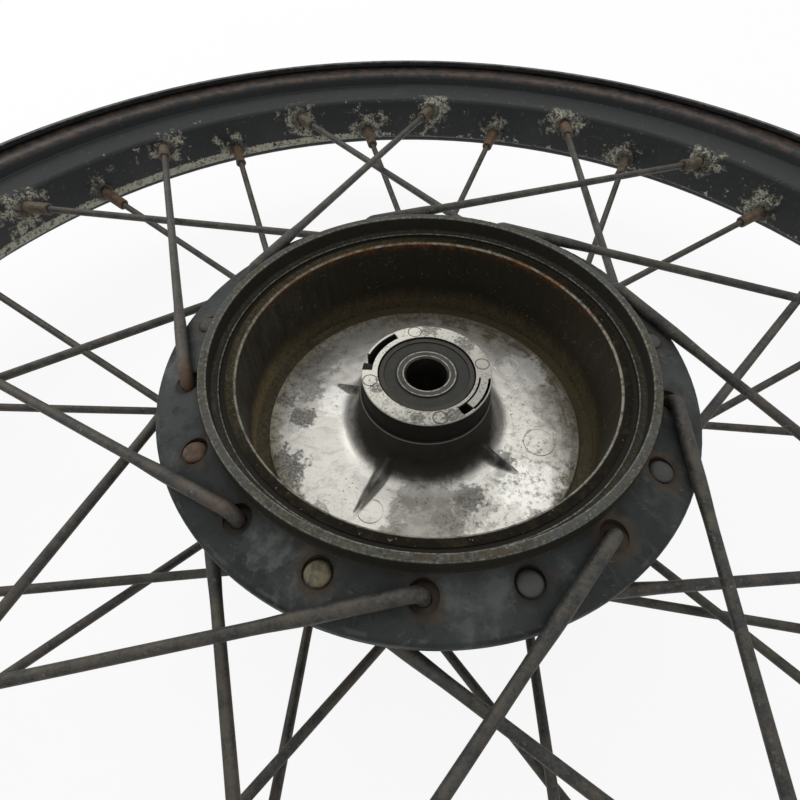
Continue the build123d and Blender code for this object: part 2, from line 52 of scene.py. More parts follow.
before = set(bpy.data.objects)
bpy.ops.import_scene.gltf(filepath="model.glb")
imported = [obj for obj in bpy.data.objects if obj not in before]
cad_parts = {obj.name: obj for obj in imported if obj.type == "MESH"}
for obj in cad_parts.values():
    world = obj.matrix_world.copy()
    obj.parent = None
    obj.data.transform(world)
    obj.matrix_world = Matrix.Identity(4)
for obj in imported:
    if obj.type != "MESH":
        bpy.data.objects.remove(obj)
CAD_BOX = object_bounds()
MM = 0.001
WHEEL = "wheel"  # the body that the hub, spokes and rim ride on

# radii and heights of the CAD pieces that the finishes follow, in millimetres
BEARING_RADIUS = 17.5
BOSS_FACE_EDGE = 23.2
BOSS_SIDE = 24.1  # the cast side, where the turned part ends
BOSS_TURNED_FOOT = 18.2
BOSS_TOP = 28.0
WEB_EDGE = 60.0
BRAKE_RADIUS = 65.0
BRAKE_SEAT = 68.4  # outside of the braking ring
BRAKE_TOP = 35.3
STEP_EDGE = 70.2
STEP_TOP = 36.0
RECESS_RADIUS = 72.6
LIP_RADIUS = 75.3
LIP_TOP = 42.4
HOLE_CIRCLE = 80.8
HOLE_STEP = 20.0  # degrees from one spoke hole to the next
FIRST_HOLE = -12.6  # degrees
LACING_TURN = 60.0  # degrees from a spoke's hole to its nipple
NIPPLE_ROW = 5.6  # from the rim's middle plane
WELL_EDGE = 254.5
HOLE_DEGREE = 1.41  # length of one degree round the spoke holes
RIM_DEGREE = 4.4  # length of one degree round the nipples

# the cast drum floor, in millimetres and degrees
WEB_LEVEL = 0.86
FLARE_START = (25.2, 9.7)  # radius and height on the boss's side
RIBS = ((-121.0, 50.0), (-37.0, 42.0), (155.0, 38.5), (60.0, 40.0))  # degrees, outer end
PIN_MARKS = ((45.0, -15.0, 6.0), (45.0, 37.0, 5.2), (45.0, -116.0, 4.6))  # circle, degrees, radius

# the stage, in metres, watts and degrees
FLOOR_REACH = 6.0
SKY_LIGHT = 0.72  # strength of the white surroundings as a light, 1 where they are seen
LAMPS = (  # name, place, width, power
    ("key_lamp", (-1.15, 0.80, 1.15), 1.5, 8.0),
    ("fill_lamp", (0.35, 0.85, 1.3), 1.3, 2.7),
)
CAMERA_PLACE = (-0.0102, -0.1267, 0.1734)
CAMERA_LENS = 24.48  # on a film 36 mm wide
CAMERA_DIP = 51.89  # below the level
CAMERA_PAN = -0.36
CAMERA_ROLL = 0.45


# ---- sizes and colours ----
def length(name, millimetres, description):
    """A length property. Its default is given in millimetres."""
    return FloatProperty(
        name=name,
        default=millimetres * MM,
        description=description,
        min=0.0,
        precision=5,
        subtype="DISTANCE",
        unit="LENGTH",
    )


def in_millimetres(sizes):
    """A plain copy of the sizes, with every length in millimetres."""
    plain = SimpleNamespace()
    for name in sizes.__annotations__:
        value = getattr(sizes, name)
        is_length = sizes.bl_rna.properties[name].unit == "LENGTH"
        setattr(plain, name, round(value / MM, 4) if is_length else value)
    return plain


def colour(name, red, green, blue, description):
    """A colour property, written with the numbers of a paint chart (0 to 255)."""
    return FloatVectorProperty(
        name=name,
        default=tuple(linear(c) for c in (red, green, blue)),
        description=description,
        subtype="COLOR",
        size=3,
        min=0.0,
        max=1.0,
    )


def linear(value):
    """A chart number of 0 to 255 as a linear light value."""
    share = value / 255
    return share / 12.92 if share <= 0.04045 else ((share + 0.055) / 1.055) ** 2.4


class WheelSizes(bpy.types.PropertyGroup):
    """Sizes of the wires, the nipples and the drum floor."""

    hole_circle: length("Drum flange hole circle", HOLE_CIRCLE, "Radius of the spoke holes, drum side")
    far_hole_circle: length("Far flange hole circle", 41.5, "Radius of the spoke holes, far side")
    well_radius: length("Rim well", 254.6, "Radius of the rim's well, tyre side")
    row_offset: length("Nipple row offset", NIPPLE_ROW, "Of each nipple row from the rim's middle")
    butt_radius: length("Butt radius", 2.2, "Spoke radius next to its elbow")
    shaft_radius: length("Shaft radius", 1.75, "Spoke radius along its length")
    butt_length: length("Butt length", 26.0, "Length of the thick end after the elbow")
    taper_length: length("Taper length", 12.0, "From the thick end to the shaft")
    bend_radius: length("Bend radius", 3.6, "Centreline radius of the elbow")
    head_radius: length("Head radius", 3.7, "Spoke head")
    head_height: length("Head height", 1.9, "Spoke head")
    nipple_length: length("Nipple length", 17.0, "From its seat to its hub end")
    nipple_radius: length("Nipple radius", 3.15, "Round part of the nipple")
    nipple_square: length("Nipple flats", 5.6, "Across the flats")
    nipple_seat: length("Nipple seat", 1.9, "Depth of the seat below the well, along the nipple")
    per_family: IntProperty(
        name="Spokes per family", default=9, min=1, description="Spokes in each of four families"
    )
    flare: length("Boss flare", 9.0, "Radius of the flare where the boss meets the floor")
    rib_height: length("Rib height", 5.5, "Of the floor's ribs where they meet the boss")
    waviness: length("Spoke waviness", 0.12, "How far old spokes stray from a straight line")


class WheelColours(bpy.types.PropertyGroup):
    """Main colours."""

    hub_paint: colour("Hub paint", 54, 58, 57, "Slate grey paint of the hub's outside")
    alloy: colour("Cast alloy", 200, 197, 189, "Clean cast aluminium of the drum floor and boss")
    grime: colour("Brake grime", 70, 62, 42, "Olive-brown brake dust and old grease")
    iron: colour("Drum iron", 38, 35, 28, "Braking surface, glazed and stained")
    rust: colour("Rust", 118, 70, 40, "Fresh rust on wires and edges")
    wire: colour("Old wire", 57, 59, 56, "Dull, stained spoke steel")
    rim_paint: colour("Rim paint", 26, 28, 29, "Blue-black paint of the rim")
    undercoat: colour("Undercoat", 168, 166, 150, "Pale coat that shows where the rim's paint is lost")
    seal: colour("Seal rubber", 40, 40, 36, "Black rubber of the bearing seals")
    floor: colour("Floor", 249, 249, 249, "Stage floor")


# ---- node expressions ----
class Value:
    """A node socket that takes part in Python expressions."""

    def __init__(self, graph, socket):
        self.graph = graph
        self.socket = socket

    def math(self, operation, *others, swap=False):
        values = (others[0], self) if swap else (self, *others)
        return self.graph.node("ShaderNodeMath", dict(enumerate(values)), operation=operation)

    def __add__(self, other):
        return self.math("ADD", other)

    def __radd__(self, other):
        return self.math("ADD", other)

    def __sub__(self, other):
        return self.math("SUBTRACT", other)

    def __rsub__(self, other):
        return self.math("SUBTRACT", other, swap=True)

    def __mul__(self, other):
        return self.math("MULTIPLY", other)

    def __rmul__(self, other):
        return self.math("MULTIPLY", other)

    def __truediv__(self, other):
        return self.math("DIVIDE", other)

    def max(self, other):
        return self.math("MAXIMUM", other)

    def min(self, other):
        return self.math("MINIMUM", other)

    def abs(self):
        return self.math("ABSOLUTE")

    def sin(self):
        return self.math("SINE")

    def step(self, low, high):
        """Smooth rise from 0 at low to 1 at high. A fall is written 1 - step."""
        values = {"Value": self, "From Min": low, "From Max": high}
        return self.graph.node("ShaderNodeMapRange", values, interpolation_type="SMOOTHSTEP")

    def band(self, low, high, soft):
        """1 between low and high, 0 outside, with soft edges."""
        return self.step(low - soft, low + soft) * (1 - self.step(high - soft, high + soft))


class Graph:
    """Makes the nodes of a tree, which starts empty."""

    def __init__(self, tree):
        self.tree = tree
        tree.nodes.clear()

    def node(self, kind, values=None, output=0, **settings):
        made = self.tree.nodes.new(kind)
        for key, setting in settings.items():
            setattr(made, key, setting)
        for key, value in (values or {}).items():
            if isinstance(value, Value):
                self.tree.links.new(value.socket, made.inputs[key])
            else:
                made.inputs[key].default_value = value
        return Value(self, made.outputs[output]) if len(made.outputs) else made


class Finish(Graph):
    """A procedural material on object coordinates, measured in millimetres."""

    def __init__(self, name):
        self.material = bpy.data.materials.new(name)
        self.material.use_nodes = True
        super().__init__(self.material.node_tree)
        place = self.node("ShaderNodeTexCoord", output=3)
        self.place = self.vector("SCALE", place, scale=1 / MM)
        self.x, self.y, self.z = (
            self.node("ShaderNodeSeparateXYZ", {0: self.place}, output=n) for n in range(3)
        )
        self.r = (self.x * self.x + self.y * self.y).math("SQRT")
        self.angle = self.y.math("ARCTAN2", self.x)

    def vector(self, operation, first, second=None, scale=None):
        values = {0: first}
        if second is not None:
            values[1] = second
        if scale is not None:
            values["Scale"] = scale
        return self.node("ShaderNodeVectorMath", values, operation=operation)

    def spot(self, x, y, z):
        return self.node("ShaderNodeCombineXYZ", {"X": x, "Y": y, "Z": z})

    def noise(self, size, detail=3.0, rough=0.55, twist=0.0, shift=0.0, at=None):
        """Cloudy noise with features of about size millimetres."""
        place = self.vector("ADD", at or self.place, (shift, -shift, shift * 0.7))
        values = {"Vector": place, "Scale": 1 / size, "Detail": detail, "Roughness": rough}
        values["Distortion"] = twist
        return self.node("ShaderNodeTexNoise", values)

    def mix(self, share, low, high):
        """A colour between two, by share."""
        values = {0: share, 6: self.tint(low), 7: self.tint(high)}
        return self.node("ShaderNodeMix", values, output=2, data_type="RGBA")

    def tint(self, value):
        return value if isinstance(value, Value) else (*value, 1.0)

    def shade(self, share, tint):
        """A colour times a number."""
        grey = self.node("ShaderNodeCombineColor", {0: share, 1: share, 2: share})
        values = {0: 1.0, 6: self.tint(tint), 7: grey}
        return self.node("ShaderNodeMix", values, output=2, data_type="RGBA", blend_type="MULTIPLY")

    def blot(self, x, y, radius, ragged=0.6, seed=0.0):
        """A ragged round patch on the level surfaces, 1 inside."""
        away_x = self.x - x
        away_y = self.y - y
        distance = (away_x * away_x + away_y * away_y).math("SQRT") / radius
        edge = self.noise(radius * 0.45, 5, 0.7, shift=seed) - 0.5
        return 1 - (distance + edge * (2.6 * ragged)).step(0.72, 1.0)

    def blots(self, *places):
        """Ragged patches joined. Each is x, y, radius, raggedness, seed and, if weaker, a strength."""
        joined = None
        for x, y, radius, ragged, seed, *strength in places:
            patch = self.blot(x, y, radius, ragged, seed)
            if strength:
                patch = patch * strength[0]
            joined = patch if joined is None else joined.max(patch)
        return joined

    def ridge(self, radius, height, reach):
        """A thin line along a turned edge at that radius and height."""
        away_r = self.r - radius
        away_z = self.z - height
        return 1 - (away_r * away_r + away_z * away_z).math("SQRT").step(reach * 0.35, reach)

    def close(self, tint, rough, metal=0.0, relief=None, depth=0.1, gloss=0.5):
        """Joins everything in one shader. relief is a height of 0 to 1, depth in millimetres."""
        values = {"Base Color": self.tint(tint), "Roughness": rough, "Metallic": metal}
        values["Specular IOR Level"] = gloss
        if relief is not None:
            bump = {"Height": relief, "Distance": depth * MM, "Strength": 1.0}
            values["Normal"] = self.node("ShaderNodeBump", bump)
        shader = self.node("ShaderNodeBsdfPrincipled", values)
        self.node("ShaderNodeOutputMaterial", {"Surface": shader})
        return self.material


# ---- finishes ----
def hub_finish(tints):
    """Paint outside, stained machined edges, and bare cast alloy inside the drum."""
    f = Finish("hub_casting_finish")
    fine = f.noise(1.1, 4, 0.65)
    medium = f.noise(5.0, 5, 0.6, shift=11)
    broad = f.noise(24.0, 4, 0.6, shift=31)
    grain = f.noise(0.9, 3, 0.7, shift=41).step(0.34, 0.62)
    specks = f.noise(0.8, 2, 0.5, shift=7).step(0.64, 0.70)
    specks = specks * f.noise(14.0, 3, 0.6, shift=203).step(0.42, 0.58)
    paint, paint_rough, chip = hub_paint(f, tints, fine, medium, broad)
    steps = f.r.band(BRAKE_SEAT - 0.1, LIP_RADIUS + 0.6, 0.2) * f.z.step(33.0, 34.4)
    wall = f.r.band(BRAKE_RADIUS + 1.0, LIP_RADIUS - 0.4, 0.2) * f.z.step(STEP_TOP + 0.2, STEP_TOP + 0.8)
    mouth = steps.max(wall)
    edge = drum_mouth(f, tints, fine, medium, broad, specks)
    alloy, dulled, rings = drum_floor(f, tints, fine, medium, broad, grain)
    bare, side, face = boss(f, alloy, fine, medium, grain)

    inside = (1 - f.r.step(BRAKE_SEAT - 0.1, BRAKE_SEAT + 0.1)) * f.z.step(-0.6, -0.3)
    seat_wall = (1 - f.r.step(BEARING_RADIUS + 0.1, BEARING_RADIUS + 0.4))
    bearing_seat = seat_wall * (1 - f.z.step(BOSS_TOP - 0.3, BOSS_TOP - 0.05))
    # painted shade: the slots in the boss face are painted near black and not metallic, and the bearing
    # seat's wall takes the same near black
    slots = (1 - f.z.step(BOSS_TOP - 1.0, BOSS_TOP - 0.5)) * f.r.band(18.3, 22.9, 0.1) * f.z.step(20.0, 21.0)
    bare = f.mix((bearing_seat * 0.9).max(slots * 0.94), bare, (0.014, 0.013, 0.010))
    tint = f.mix(inside, f.mix(mouth, paint, edge), bare)

    metal = inside * (1 - dulled.max(side * 0.95)) * (1 - slots) * 0.85
    rough_bare = 0.27 + fine * 0.16 + dulled * 0.30 + side * 0.10 + face * 0.12
    rough = paint_rough * (1 - inside) * (1 - mouth) + mouth * (0.44 + fine * 0.25) + inside * rough_bare
    relief = fine * 0.30 + rings * inside * 0.04 + medium * 0.25 - chip * 0.3 - dulled * inside * 0.15
    return f.close(tint, rough.min(0.95), metal, relief, 0.16, gloss=0.12)


def hub_paint(f, tints, fine, medium, broad):
    """Satin paint with smudges, scratches, lost spots and rust below the wires, lighter patches of painted
    light and darker ones of painted shade, and painted shade round the spoke holes and along the shell's
    foot.
    """
    far_light = f.noise(40.0, 3, 0.5, shift=101)
    cloudy = broad.step(0.38, 0.62) * 0.36 + far_light.step(0.40, 0.60) * 0.44
    cloudy = cloudy + medium.step(0.35, 0.66) * 0.22
    paint = f.shade(0.42 + cloudy + fine * 0.16, tints.hub_paint)
    smudge = (medium * 0.5 + f.noise(9.0, 6, 0.7, shift=47) * 0.5).step(0.48, 0.62)
    paint = f.mix(smudge * 0.55, paint, (0.017, 0.019, 0.018))
    rubbed = f.noise(8.0, 7, 0.75, twist=0.6, shift=241).step(0.54, 0.66) * broad.step(0.42, 0.58)
    paint = f.mix(rubbed * 0.42, paint, (0.105, 0.112, 0.108))
    # painted light: patches of lighter paint where the light falls brightest on the flange
    light = f.blots(
        (-45.0, -66.0, 9.0, 0.8, 401),
        (10.0, -79.5, 12.0, 0.8, 409, 0.8),
        (-84.0, -4.0, 9.0, 0.9, 419),
        (-35.0, -82.0, 8.0, 0.9, 421, 0.7),
    )
    paint = f.mix(light * (0.12 + medium.step(0.42, 0.62) * 0.38), paint, (0.125, 0.135, 0.130))
    # painted shade: darker patches of paint on the flange
    shaded = f.blots((50.0, -68.0, 24.0, 0.8, 431), (-65.0, -50.0, 13.0, 0.9, 433))
    paint = f.mix(shaded * 0.45, paint, (0.016, 0.018, 0.018))
    nick = f.noise(2.6, 4, 0.65, shift=251).step(0.62, 0.68)
    nick = nick * f.noise(20.0, 3, 0.5, shift=257).step(0.46, 0.56)
    paint = f.mix(nick * 0.7, paint, (0.012, 0.012, 0.010))
    drip = f.noise(2.4, 4, 0.6, at=f.spot(f.angle * 84.0, f.r * 0.12, f.z * 0.12)).step(0.55, 0.72)
    paint = f.mix(drip * broad.step(0.44, 0.60) * 0.30, paint, (0.095, 0.095, 0.085))
    streaked = f.spot(f.x * 0.3 + f.y * 0.9, f.y * 0.12 - f.x * 0.12, f.z)
    scratch = f.noise(1.3, 2, 0.5, shift=3, at=streaked).step(0.69, 0.74) * broad.step(0.46, 0.60)
    paint = f.mix(scratch * 0.45, paint, (0.17, 0.175, 0.17))
    chip = (f.noise(3.4, 6, 0.75, shift=71) + broad * 0.35).step(0.885, 0.915)
    paint = f.mix(chip * 0.6, paint, (0.20, 0.19, 0.165))
    lost = (f.noise(2.2, 6, 0.8, shift=113) + medium * 0.3).step(0.80, 0.86)
    paint = f.mix(lost * 0.7, paint, (0.018, 0.016, 0.013))
    paint = shade_and_rust_round_holes(f, paint, fine, medium, broad)
    edge = f.ridge(92.0, 25.6, 1.3).max(f.ridge(90.8, 30.4, 0.9)) * medium.step(0.50, 0.62)
    paint = f.mix(edge * 0.3, paint, (0.12, 0.12, 0.11))
    return paint, 0.40 + medium * 0.24 + chip * 0.1 + smudge * 0.12, chip


def nearest_place(f, first, degree, beside):
    """Distance to the nearest of the even places of spoke holes or nipples. degree is the length
    of one degree round their circle, beside the distance off that circle."""
    past = (f.angle * (180 / math.pi) - first + 720.0).math("MODULO", HOLE_STEP)
    round_way = (HOLE_STEP / 2 - (past - HOLE_STEP / 2).abs()) * degree
    return (round_way * round_way + beside * beside).math("SQRT")


def shade_and_rust_round_holes(f, paint, fine, medium, broad):
    """Painted shade along the foot of the shell, a painted shadow round each spoke hole, and rust bled from
    some holes.
    """
    # painted shade: the paint at the foot of the shell is darkened where it meets the drum's lip
    foot = 1 - (f.r + (medium - 0.5) * 3).step(LIP_RADIUS + 0.3, LIP_RADIUS + 4.2)
    paint = f.mix(foot * f.z.step(30.0, 33.0) * 0.65, paint, (0.016, 0.015, 0.012))
    hole = nearest_place(f, FIRST_HOLE, HOLE_DEGREE, f.r - HOLE_CIRCLE)
    # painted shadow: a dark ring round each spoke hole, where the elbows and heads meet the flange
    ring = 1 - (hole + (fine - 0.5) * 2.4).step(3.9, 6.4)
    paint = f.mix(ring * 0.8, paint, (0.020, 0.016, 0.012))
    bled = (1 - (hole + (medium - 0.5) * 9).step(5.0, 8.5)) * broad.step(0.44, 0.56)
    return f.mix(bled * 0.35, paint, (0.085, 0.055, 0.032))


def drum_mouth(f, tints, fine, medium, broad, specks):
    """Stained machined steps round the mouth of the drum, pale specks and bright burrs."""
    lip = f.z.step(LIP_TOP - 1.0, LIP_TOP - 0.4)
    edge = f.mix(fine.step(0.35, 0.75), (0.036, 0.037, 0.032), (0.130, 0.130, 0.112))
    edge = f.mix(medium.step(0.42, 0.60) * 0.75, edge, tints.grime)
    edge = f.mix(broad.step(0.45, 0.60) * lip * 0.55, edge, (0.075, 0.080, 0.078))
    edge = f.mix(specks * 0.6, edge, (0.30, 0.285, 0.23))
    low = (1 - lip) * (1 - f.r.step(STEP_EDGE + 0.1, STEP_EDGE + 1.8) * 0.5)
    edge = f.mix(low * 0.82, edge, f.shade(0.4 + medium * 0.7, (0.018, 0.015, 0.009)))
    wall = (1 - lip) * f.z.step(STEP_TOP + 0.2, STEP_TOP + 0.7)
    edge = f.mix(wall * 0.92, edge, f.shade(0.7 + fine * 0.8, (0.016, 0.015, 0.012)))
    groove = f.r.band(BRAKE_SEAT, STEP_EDGE + 0.05, 0.1) * (1 - f.z.step(BRAKE_TOP - 0.1, BRAKE_TOP + 0.6))
    edge = f.mix(groove * 0.95, edge, f.shade(0.5 + fine, (0.013, 0.011, 0.0065)))
    burr = f.ridge(RECESS_RADIUS, LIP_TOP, 0.55).max(f.ridge(LIP_RADIUS, LIP_TOP, 0.55) * 0.6)
    burr = burr.max(f.ridge(STEP_EDGE, STEP_TOP, 0.45))
    return f.mix(burr * (0.15 + fine.step(0.35, 0.7) * 0.7), edge, (0.30, 0.295, 0.265))


def clean_alloy(f, tints, fine, broad, cloud):
    """Bright cast alloy, clouded and smeared."""
    alloy = f.shade(0.84 + fine * 0.16 + broad * 0.16, tints.alloy)
    alloy = f.mix(cloud * 0.42, alloy, (0.27, 0.265, 0.245))
    drawn = f.spot(f.x * 0.5 + f.y * 0.3, f.y - f.x * 0.4, f.z)
    smear = f.noise(5.5, 6, 0.7, twist=1.4, shift=131, at=drawn)
    return f.mix(smear.step(0.52, 0.66) * 0.30, alloy, (0.16, 0.16, 0.15))


def oxide_and_shade_patches(f, alloy, cloud, grain):
    """Ragged grey patches of oxide, and darker patches of painted shade and painted reflection on the web."""
    oxide = f.blots(
        (-47.7, -0.3, 5.6, 0.9, 2),
        (-51.2, -22.8, 8.5, 1.0, 9),
        (-46.0, 14.0, 7.0, 1.3, 17, 0.7),
        (-55.0, 8.5, 4.2, 1.0, 23),
        (-12.0, -52.0, 5.0, 1.3, 57, 0.5),
        (-38.0, -40.0, 4.0, 1.4, 63, 0.45),
    )
    alloy = f.mix(oxide * (0.32 + grain * 0.52), alloy, (0.125, 0.125, 0.114))
    # painted shade and painted reflection: darker patches in front of the boss and where the web mirrors the
    # dark drum wall
    shadowed = f.blots(
        (12.0, -39.0, 12.0, 0.9, 29),
        (-46.0, 29.0, 13.0, 1.0, 37),
        (28.0, -27.0, 7.0, 1.0, 71),
    )
    return f.mix(shadowed * (0.35 + cloud * 0.45), alloy, (0.085, 0.084, 0.075)), oxide


def brake_dust(f, tints, alloy, medium, broad):
    """Olive dust that thickens outwards and towards one side."""
    outward = (f.r + (medium - 0.5) * 18).step(42.0, 60.0)
    away = (f.x * 0.70 + f.y * 0.86 + (broad - 0.5) * 34).step(0.0, 48.0)
    bands = f.noise(2.2, 4, 0.6, shift=281, at=f.spot(f.r, f.angle * 4.0, 0.0)).step(0.40, 0.60)
    dust = (outward * (0.06 + away * 0.94)) * (0.34 + bands * 0.34 + medium.step(0.35, 0.65) * 0.42)
    return f.mix(dust.min(0.92), alloy, f.shade(0.55 + medium * 0.9, tints.grime)), dust


def floor_stains(f, alloy, cloud, medium):
    """Smut and tea-brown stains, near-white spots, and pits."""
    smut = f.blots(
        (-4.0, -34.8, 7.0, 0.9, 301),
        (15.0, -35.0, 6.0, 1.1, 307),
        (29.4, -19.3, 4.0, 1.3, 313),
    )
    alloy = f.mix(smut * (0.35 + cloud * 0.5), alloy, (0.085, 0.082, 0.066))
    tea = f.blots((2.0, -42.5, 15.0, 1.2, 311), (-8.0, -48.0, 8.0, 1.1, 317))
    strength = 0.14 + cloud * 0.34 + medium.step(0.4, 0.6) * 0.26
    alloy = f.mix(tea * strength, alloy, (0.145, 0.130, 0.098))
    # near-white spots, brighter than the alloy round them
    worn = f.blots(
        (-34.0, 8.0, 9.0, 0.6, 331),
        (43.0, 24.0, 11.0, 0.6, 337),
        (36.0, -31.0, 12.0, 0.6, 347),
    )
    alloy = f.mix(worn * (1 - cloud) * 0.55, alloy, (0.86, 0.85, 0.81))
    brown = (f.x * 0.8 - f.y * 0.35).step(6.0, 50.0) * f.noise(2.2, 6, 0.75, shift=53).step(0.49, 0.66)
    alloy = f.mix(brown * 0.5, alloy, (0.15, 0.115, 0.070))
    pit = f.noise(1.0, 3, 0.7, shift=19).step(0.62, 0.68) * f.noise(7.0, 4, 0.6, shift=61).step(0.48, 0.58)
    alloy = f.mix(pit * 0.8, alloy, (0.045, 0.038, 0.026))
    return alloy, smut, tea, brown, pit


def web_border(f, tints, alloy, fine, medium):
    """Mottled outer edge of the web with a cream line, and the dirty land outside it."""
    border = (f.r + (f.noise(7.0, 5, 0.7, shift=293) - 0.5) * 20).step(WEB_EDGE - 5.0, WEB_EDGE - 1.0)
    mottle = f.noise(1.8, 5, 0.75, shift=121).step(0.42, 0.58)
    olive = f.mix(medium.step(0.4, 0.6), (0.055, 0.050, 0.034), (0.150, 0.122, 0.070))
    alloy = f.mix(border * (0.35 + mottle * 0.55), alloy, olive)
    cream = f.r.band(WEB_EDGE - 3.4, WEB_EDGE + 0.2, 0.9) * f.noise(2.0, 5, 0.75, shift=223).step(0.50, 0.60)
    cream = cream * (0.6 - f.x * 0.014).max(0.0).min(1.0)
    alloy = f.mix(cream * 0.8, alloy, (0.42, 0.385, 0.28))
    land = f.r.step(WEB_EDGE - 0.4, WEB_EDGE + 0.2)
    alloy = f.mix(land * 0.86, alloy, f.shade(0.35 + medium * 0.9 + fine * 0.3, tints.grime))
    line = f.ridge(WEB_EDGE, 0.6, 0.5)
    alloy = f.mix(line * (0.35 + medium * 0.6), alloy, (0.46, 0.43, 0.33))
    return alloy, border, land


def drum_floor(f, tints, fine, medium, broad, grain):
    """Cast floor and boss in bare alloy, with painted shade, painted reflection and a painted highlight round
    the boss and along the ribs. Gives its colour, how far dirt and the painted shade dull it, and the fine
    lines that its turning left."""
    cloud = (f.noise(9.0, 7, 0.75, twist=0.8, shift=91) * 0.6 + fine * 0.4).step(0.49, 0.66)
    alloy = clean_alloy(f, tints, fine, broad, cloud)
    alloy, oxide = oxide_and_shade_patches(f, alloy, cloud, grain)
    alloy, dust = brake_dust(f, tints, alloy, medium, broad)
    alloy, smut, tea, brown, pit = floor_stains(f, alloy, cloud, medium)
    alloy, border, land = web_border(f, tints, alloy, fine, medium)
    reach = flare_reach(f)
    # painted reflection: the web round the boss's foot is darkened where it mirrors the dark boss
    foot = 1 - (reach + (medium - 0.5) * 4).step(29.5, 33.5)
    alloy = f.mix(foot * cloud * 0.5, alloy, (0.045, 0.044, 0.040))
    # painted highlight: a pale crescent in front of the boss where the flare catches the light
    bright = reach.band(31.5, 35.5, 2.0) * (0.0 - f.y).step(-12.0, 10.0)
    alloy = f.mix(bright * 0.25, alloy, (0.90, 0.88, 0.84))
    # painted shade: the crest and far side of the floor's ribs are painted dark, and count towards dulling
    rib_shade = shade_along_ribs(f, medium)
    alloy = f.mix(rib_shade * (0.55 + medium.step(0.35, 0.60) * 0.35), alloy, (0.026, 0.025, 0.021))
    turning = (f.r * 5.2).sin() * 0.5 + 0.5
    dulled = dust * 0.85
    for mark, share in (
        (oxide, 0.85), (rib_shade, 0.8), (smut, 0.7), (tea, 0.6), (brown, 0.5),
        (land, 0.85), (pit, 1.0), (border, 0.7), (foot, 0.6),
    ):
        dulled = dulled.max(mark * share)
    return alloy, dulled.min(1), turning * f.r.band(29.0, WEB_EDGE - 0.2, 2.0)


def flare_reach(f):
    """Distance from the axle, longer towards the back, where the painted dark reflection round the boss's
    foot is narrower.
    """
    return f.r + (f.y.max(-26.0) + 26.0) * 0.11


def shade_along_ribs(f, medium):
    """Painted shade along the crest and the far side of each of the floor's ribs."""
    marks = None
    for degrees, reach in RIBS:
        turn = math.radians(degrees)
        along = f.x * math.cos(turn) + f.y * math.sin(turn)
        across = f.y * math.cos(turn) - f.x * math.sin(turn)
        width = (reach - along) * (3.4 / (reach - 28.0)) + 0.5
        mark = 1 - ((across + 0.5).abs() - width + (medium - 0.5) * 2.4).step(-1.3, 0.5)
        mark = mark * along.step(26.0, 29.0) * (1 - along.step(reach - 4.0, reach + 0.5))
        marks = mark if marks is None else marks.max(mark)
    return marks


def boss(f, alloy, fine, medium, grain):
    """Turned sides painted dark, a painted reflection that reaches down onto the flare, with thin bright
    edges, and a bright face with black specks.
    """
    # painted reflection: the boss's sides and the flare below them are painted near black and made less
    # metallic, where the polished alloy mirrors the dark boss and drum wall
    foot = 1 - (flare_reach(f) + (medium - 0.5) * 3).step(27.6, 33.4)
    foot = foot * (f.z + (medium - 0.5) * 0.8).step(0.9, 2.4)
    side = foot * (1 - f.z.step(BOSS_TOP - 0.6, BOSS_TOP - 0.1))
    turned = f.z.step(BOSS_TURNED_FOOT - 0.3, BOSS_TURNED_FOOT + 0.1)
    cast = f.shade(0.8 + medium * 1.0, (0.030, 0.029, 0.025))
    sides = f.mix(turned, cast, (0.018, 0.017, 0.014))
    scuffed = f.noise(2.6, 5, 0.7, shift=143).step(0.58, 0.70)
    sides = f.mix(scuffed * 0.35, sides, (0.07, 0.068, 0.060))
    shown = f.mix(side, alloy, sides)
    lit = (f.y * 0.5 - f.x * 0.8 + (medium - 0.5) * 20).step(-22.0, 22.0)
    tone = f.shade(0.54 + lit * 0.52 + fine * 0.3, (0.58, 0.56, 0.50))
    flecks = f.noise(0.75, 4, 0.7, shift=83).step(0.54, 0.64)
    flecks = flecks * f.noise(5.5, 3, 0.6, shift=97).step(0.38, 0.54)
    worn = (0.0 - f.y + (medium - 0.5) * 22).step(8.0, 22.0)
    worn = worn * f.noise(1.3, 5, 0.75, shift=173).step(0.47, 0.60)
    tone = f.mix(flecks.max(worn * 0.8) * 0.88, tone, (0.035, 0.032, 0.024))
    stain = f.blots(
        (-4.0, -20.3, 2.8, 0.9, 33),
        (14.5, 13.5, 4.4, 1.2, 43),
        (-17.5, -7.5, 2.6, 1.0, 47),
        (8.0, -19.5, 4.2, 1.2, 87),
        (2.0, 21.0, 3.6, 1.2, 89),
    )
    tone = f.mix(stain * (0.35 + grain * 0.5), tone, (0.07, 0.068, 0.056))
    rust = f.noise(3.6, 5, 0.7, shift=151).step(0.58, 0.70)
    tone = f.mix(rust * 0.35, tone, (0.15, 0.115, 0.070))
    face = 1 - f.r.step(BOSS_FACE_EDGE + 0.4, BOSS_FACE_EDGE + 1.0)
    face = f.z.step(BOSS_TOP - 0.5, BOSS_TOP - 0.15) * face
    shown = f.mix(face, shown, tone)
    edges = f.ridge(BOSS_FACE_EDGE, BOSS_TOP, 0.5).max(f.ridge(BOSS_SIDE, BOSS_TURNED_FOOT, 0.42) * 0.6)
    return f.mix(edges * 0.75, shown, (0.38, 0.37, 0.33)), side, face


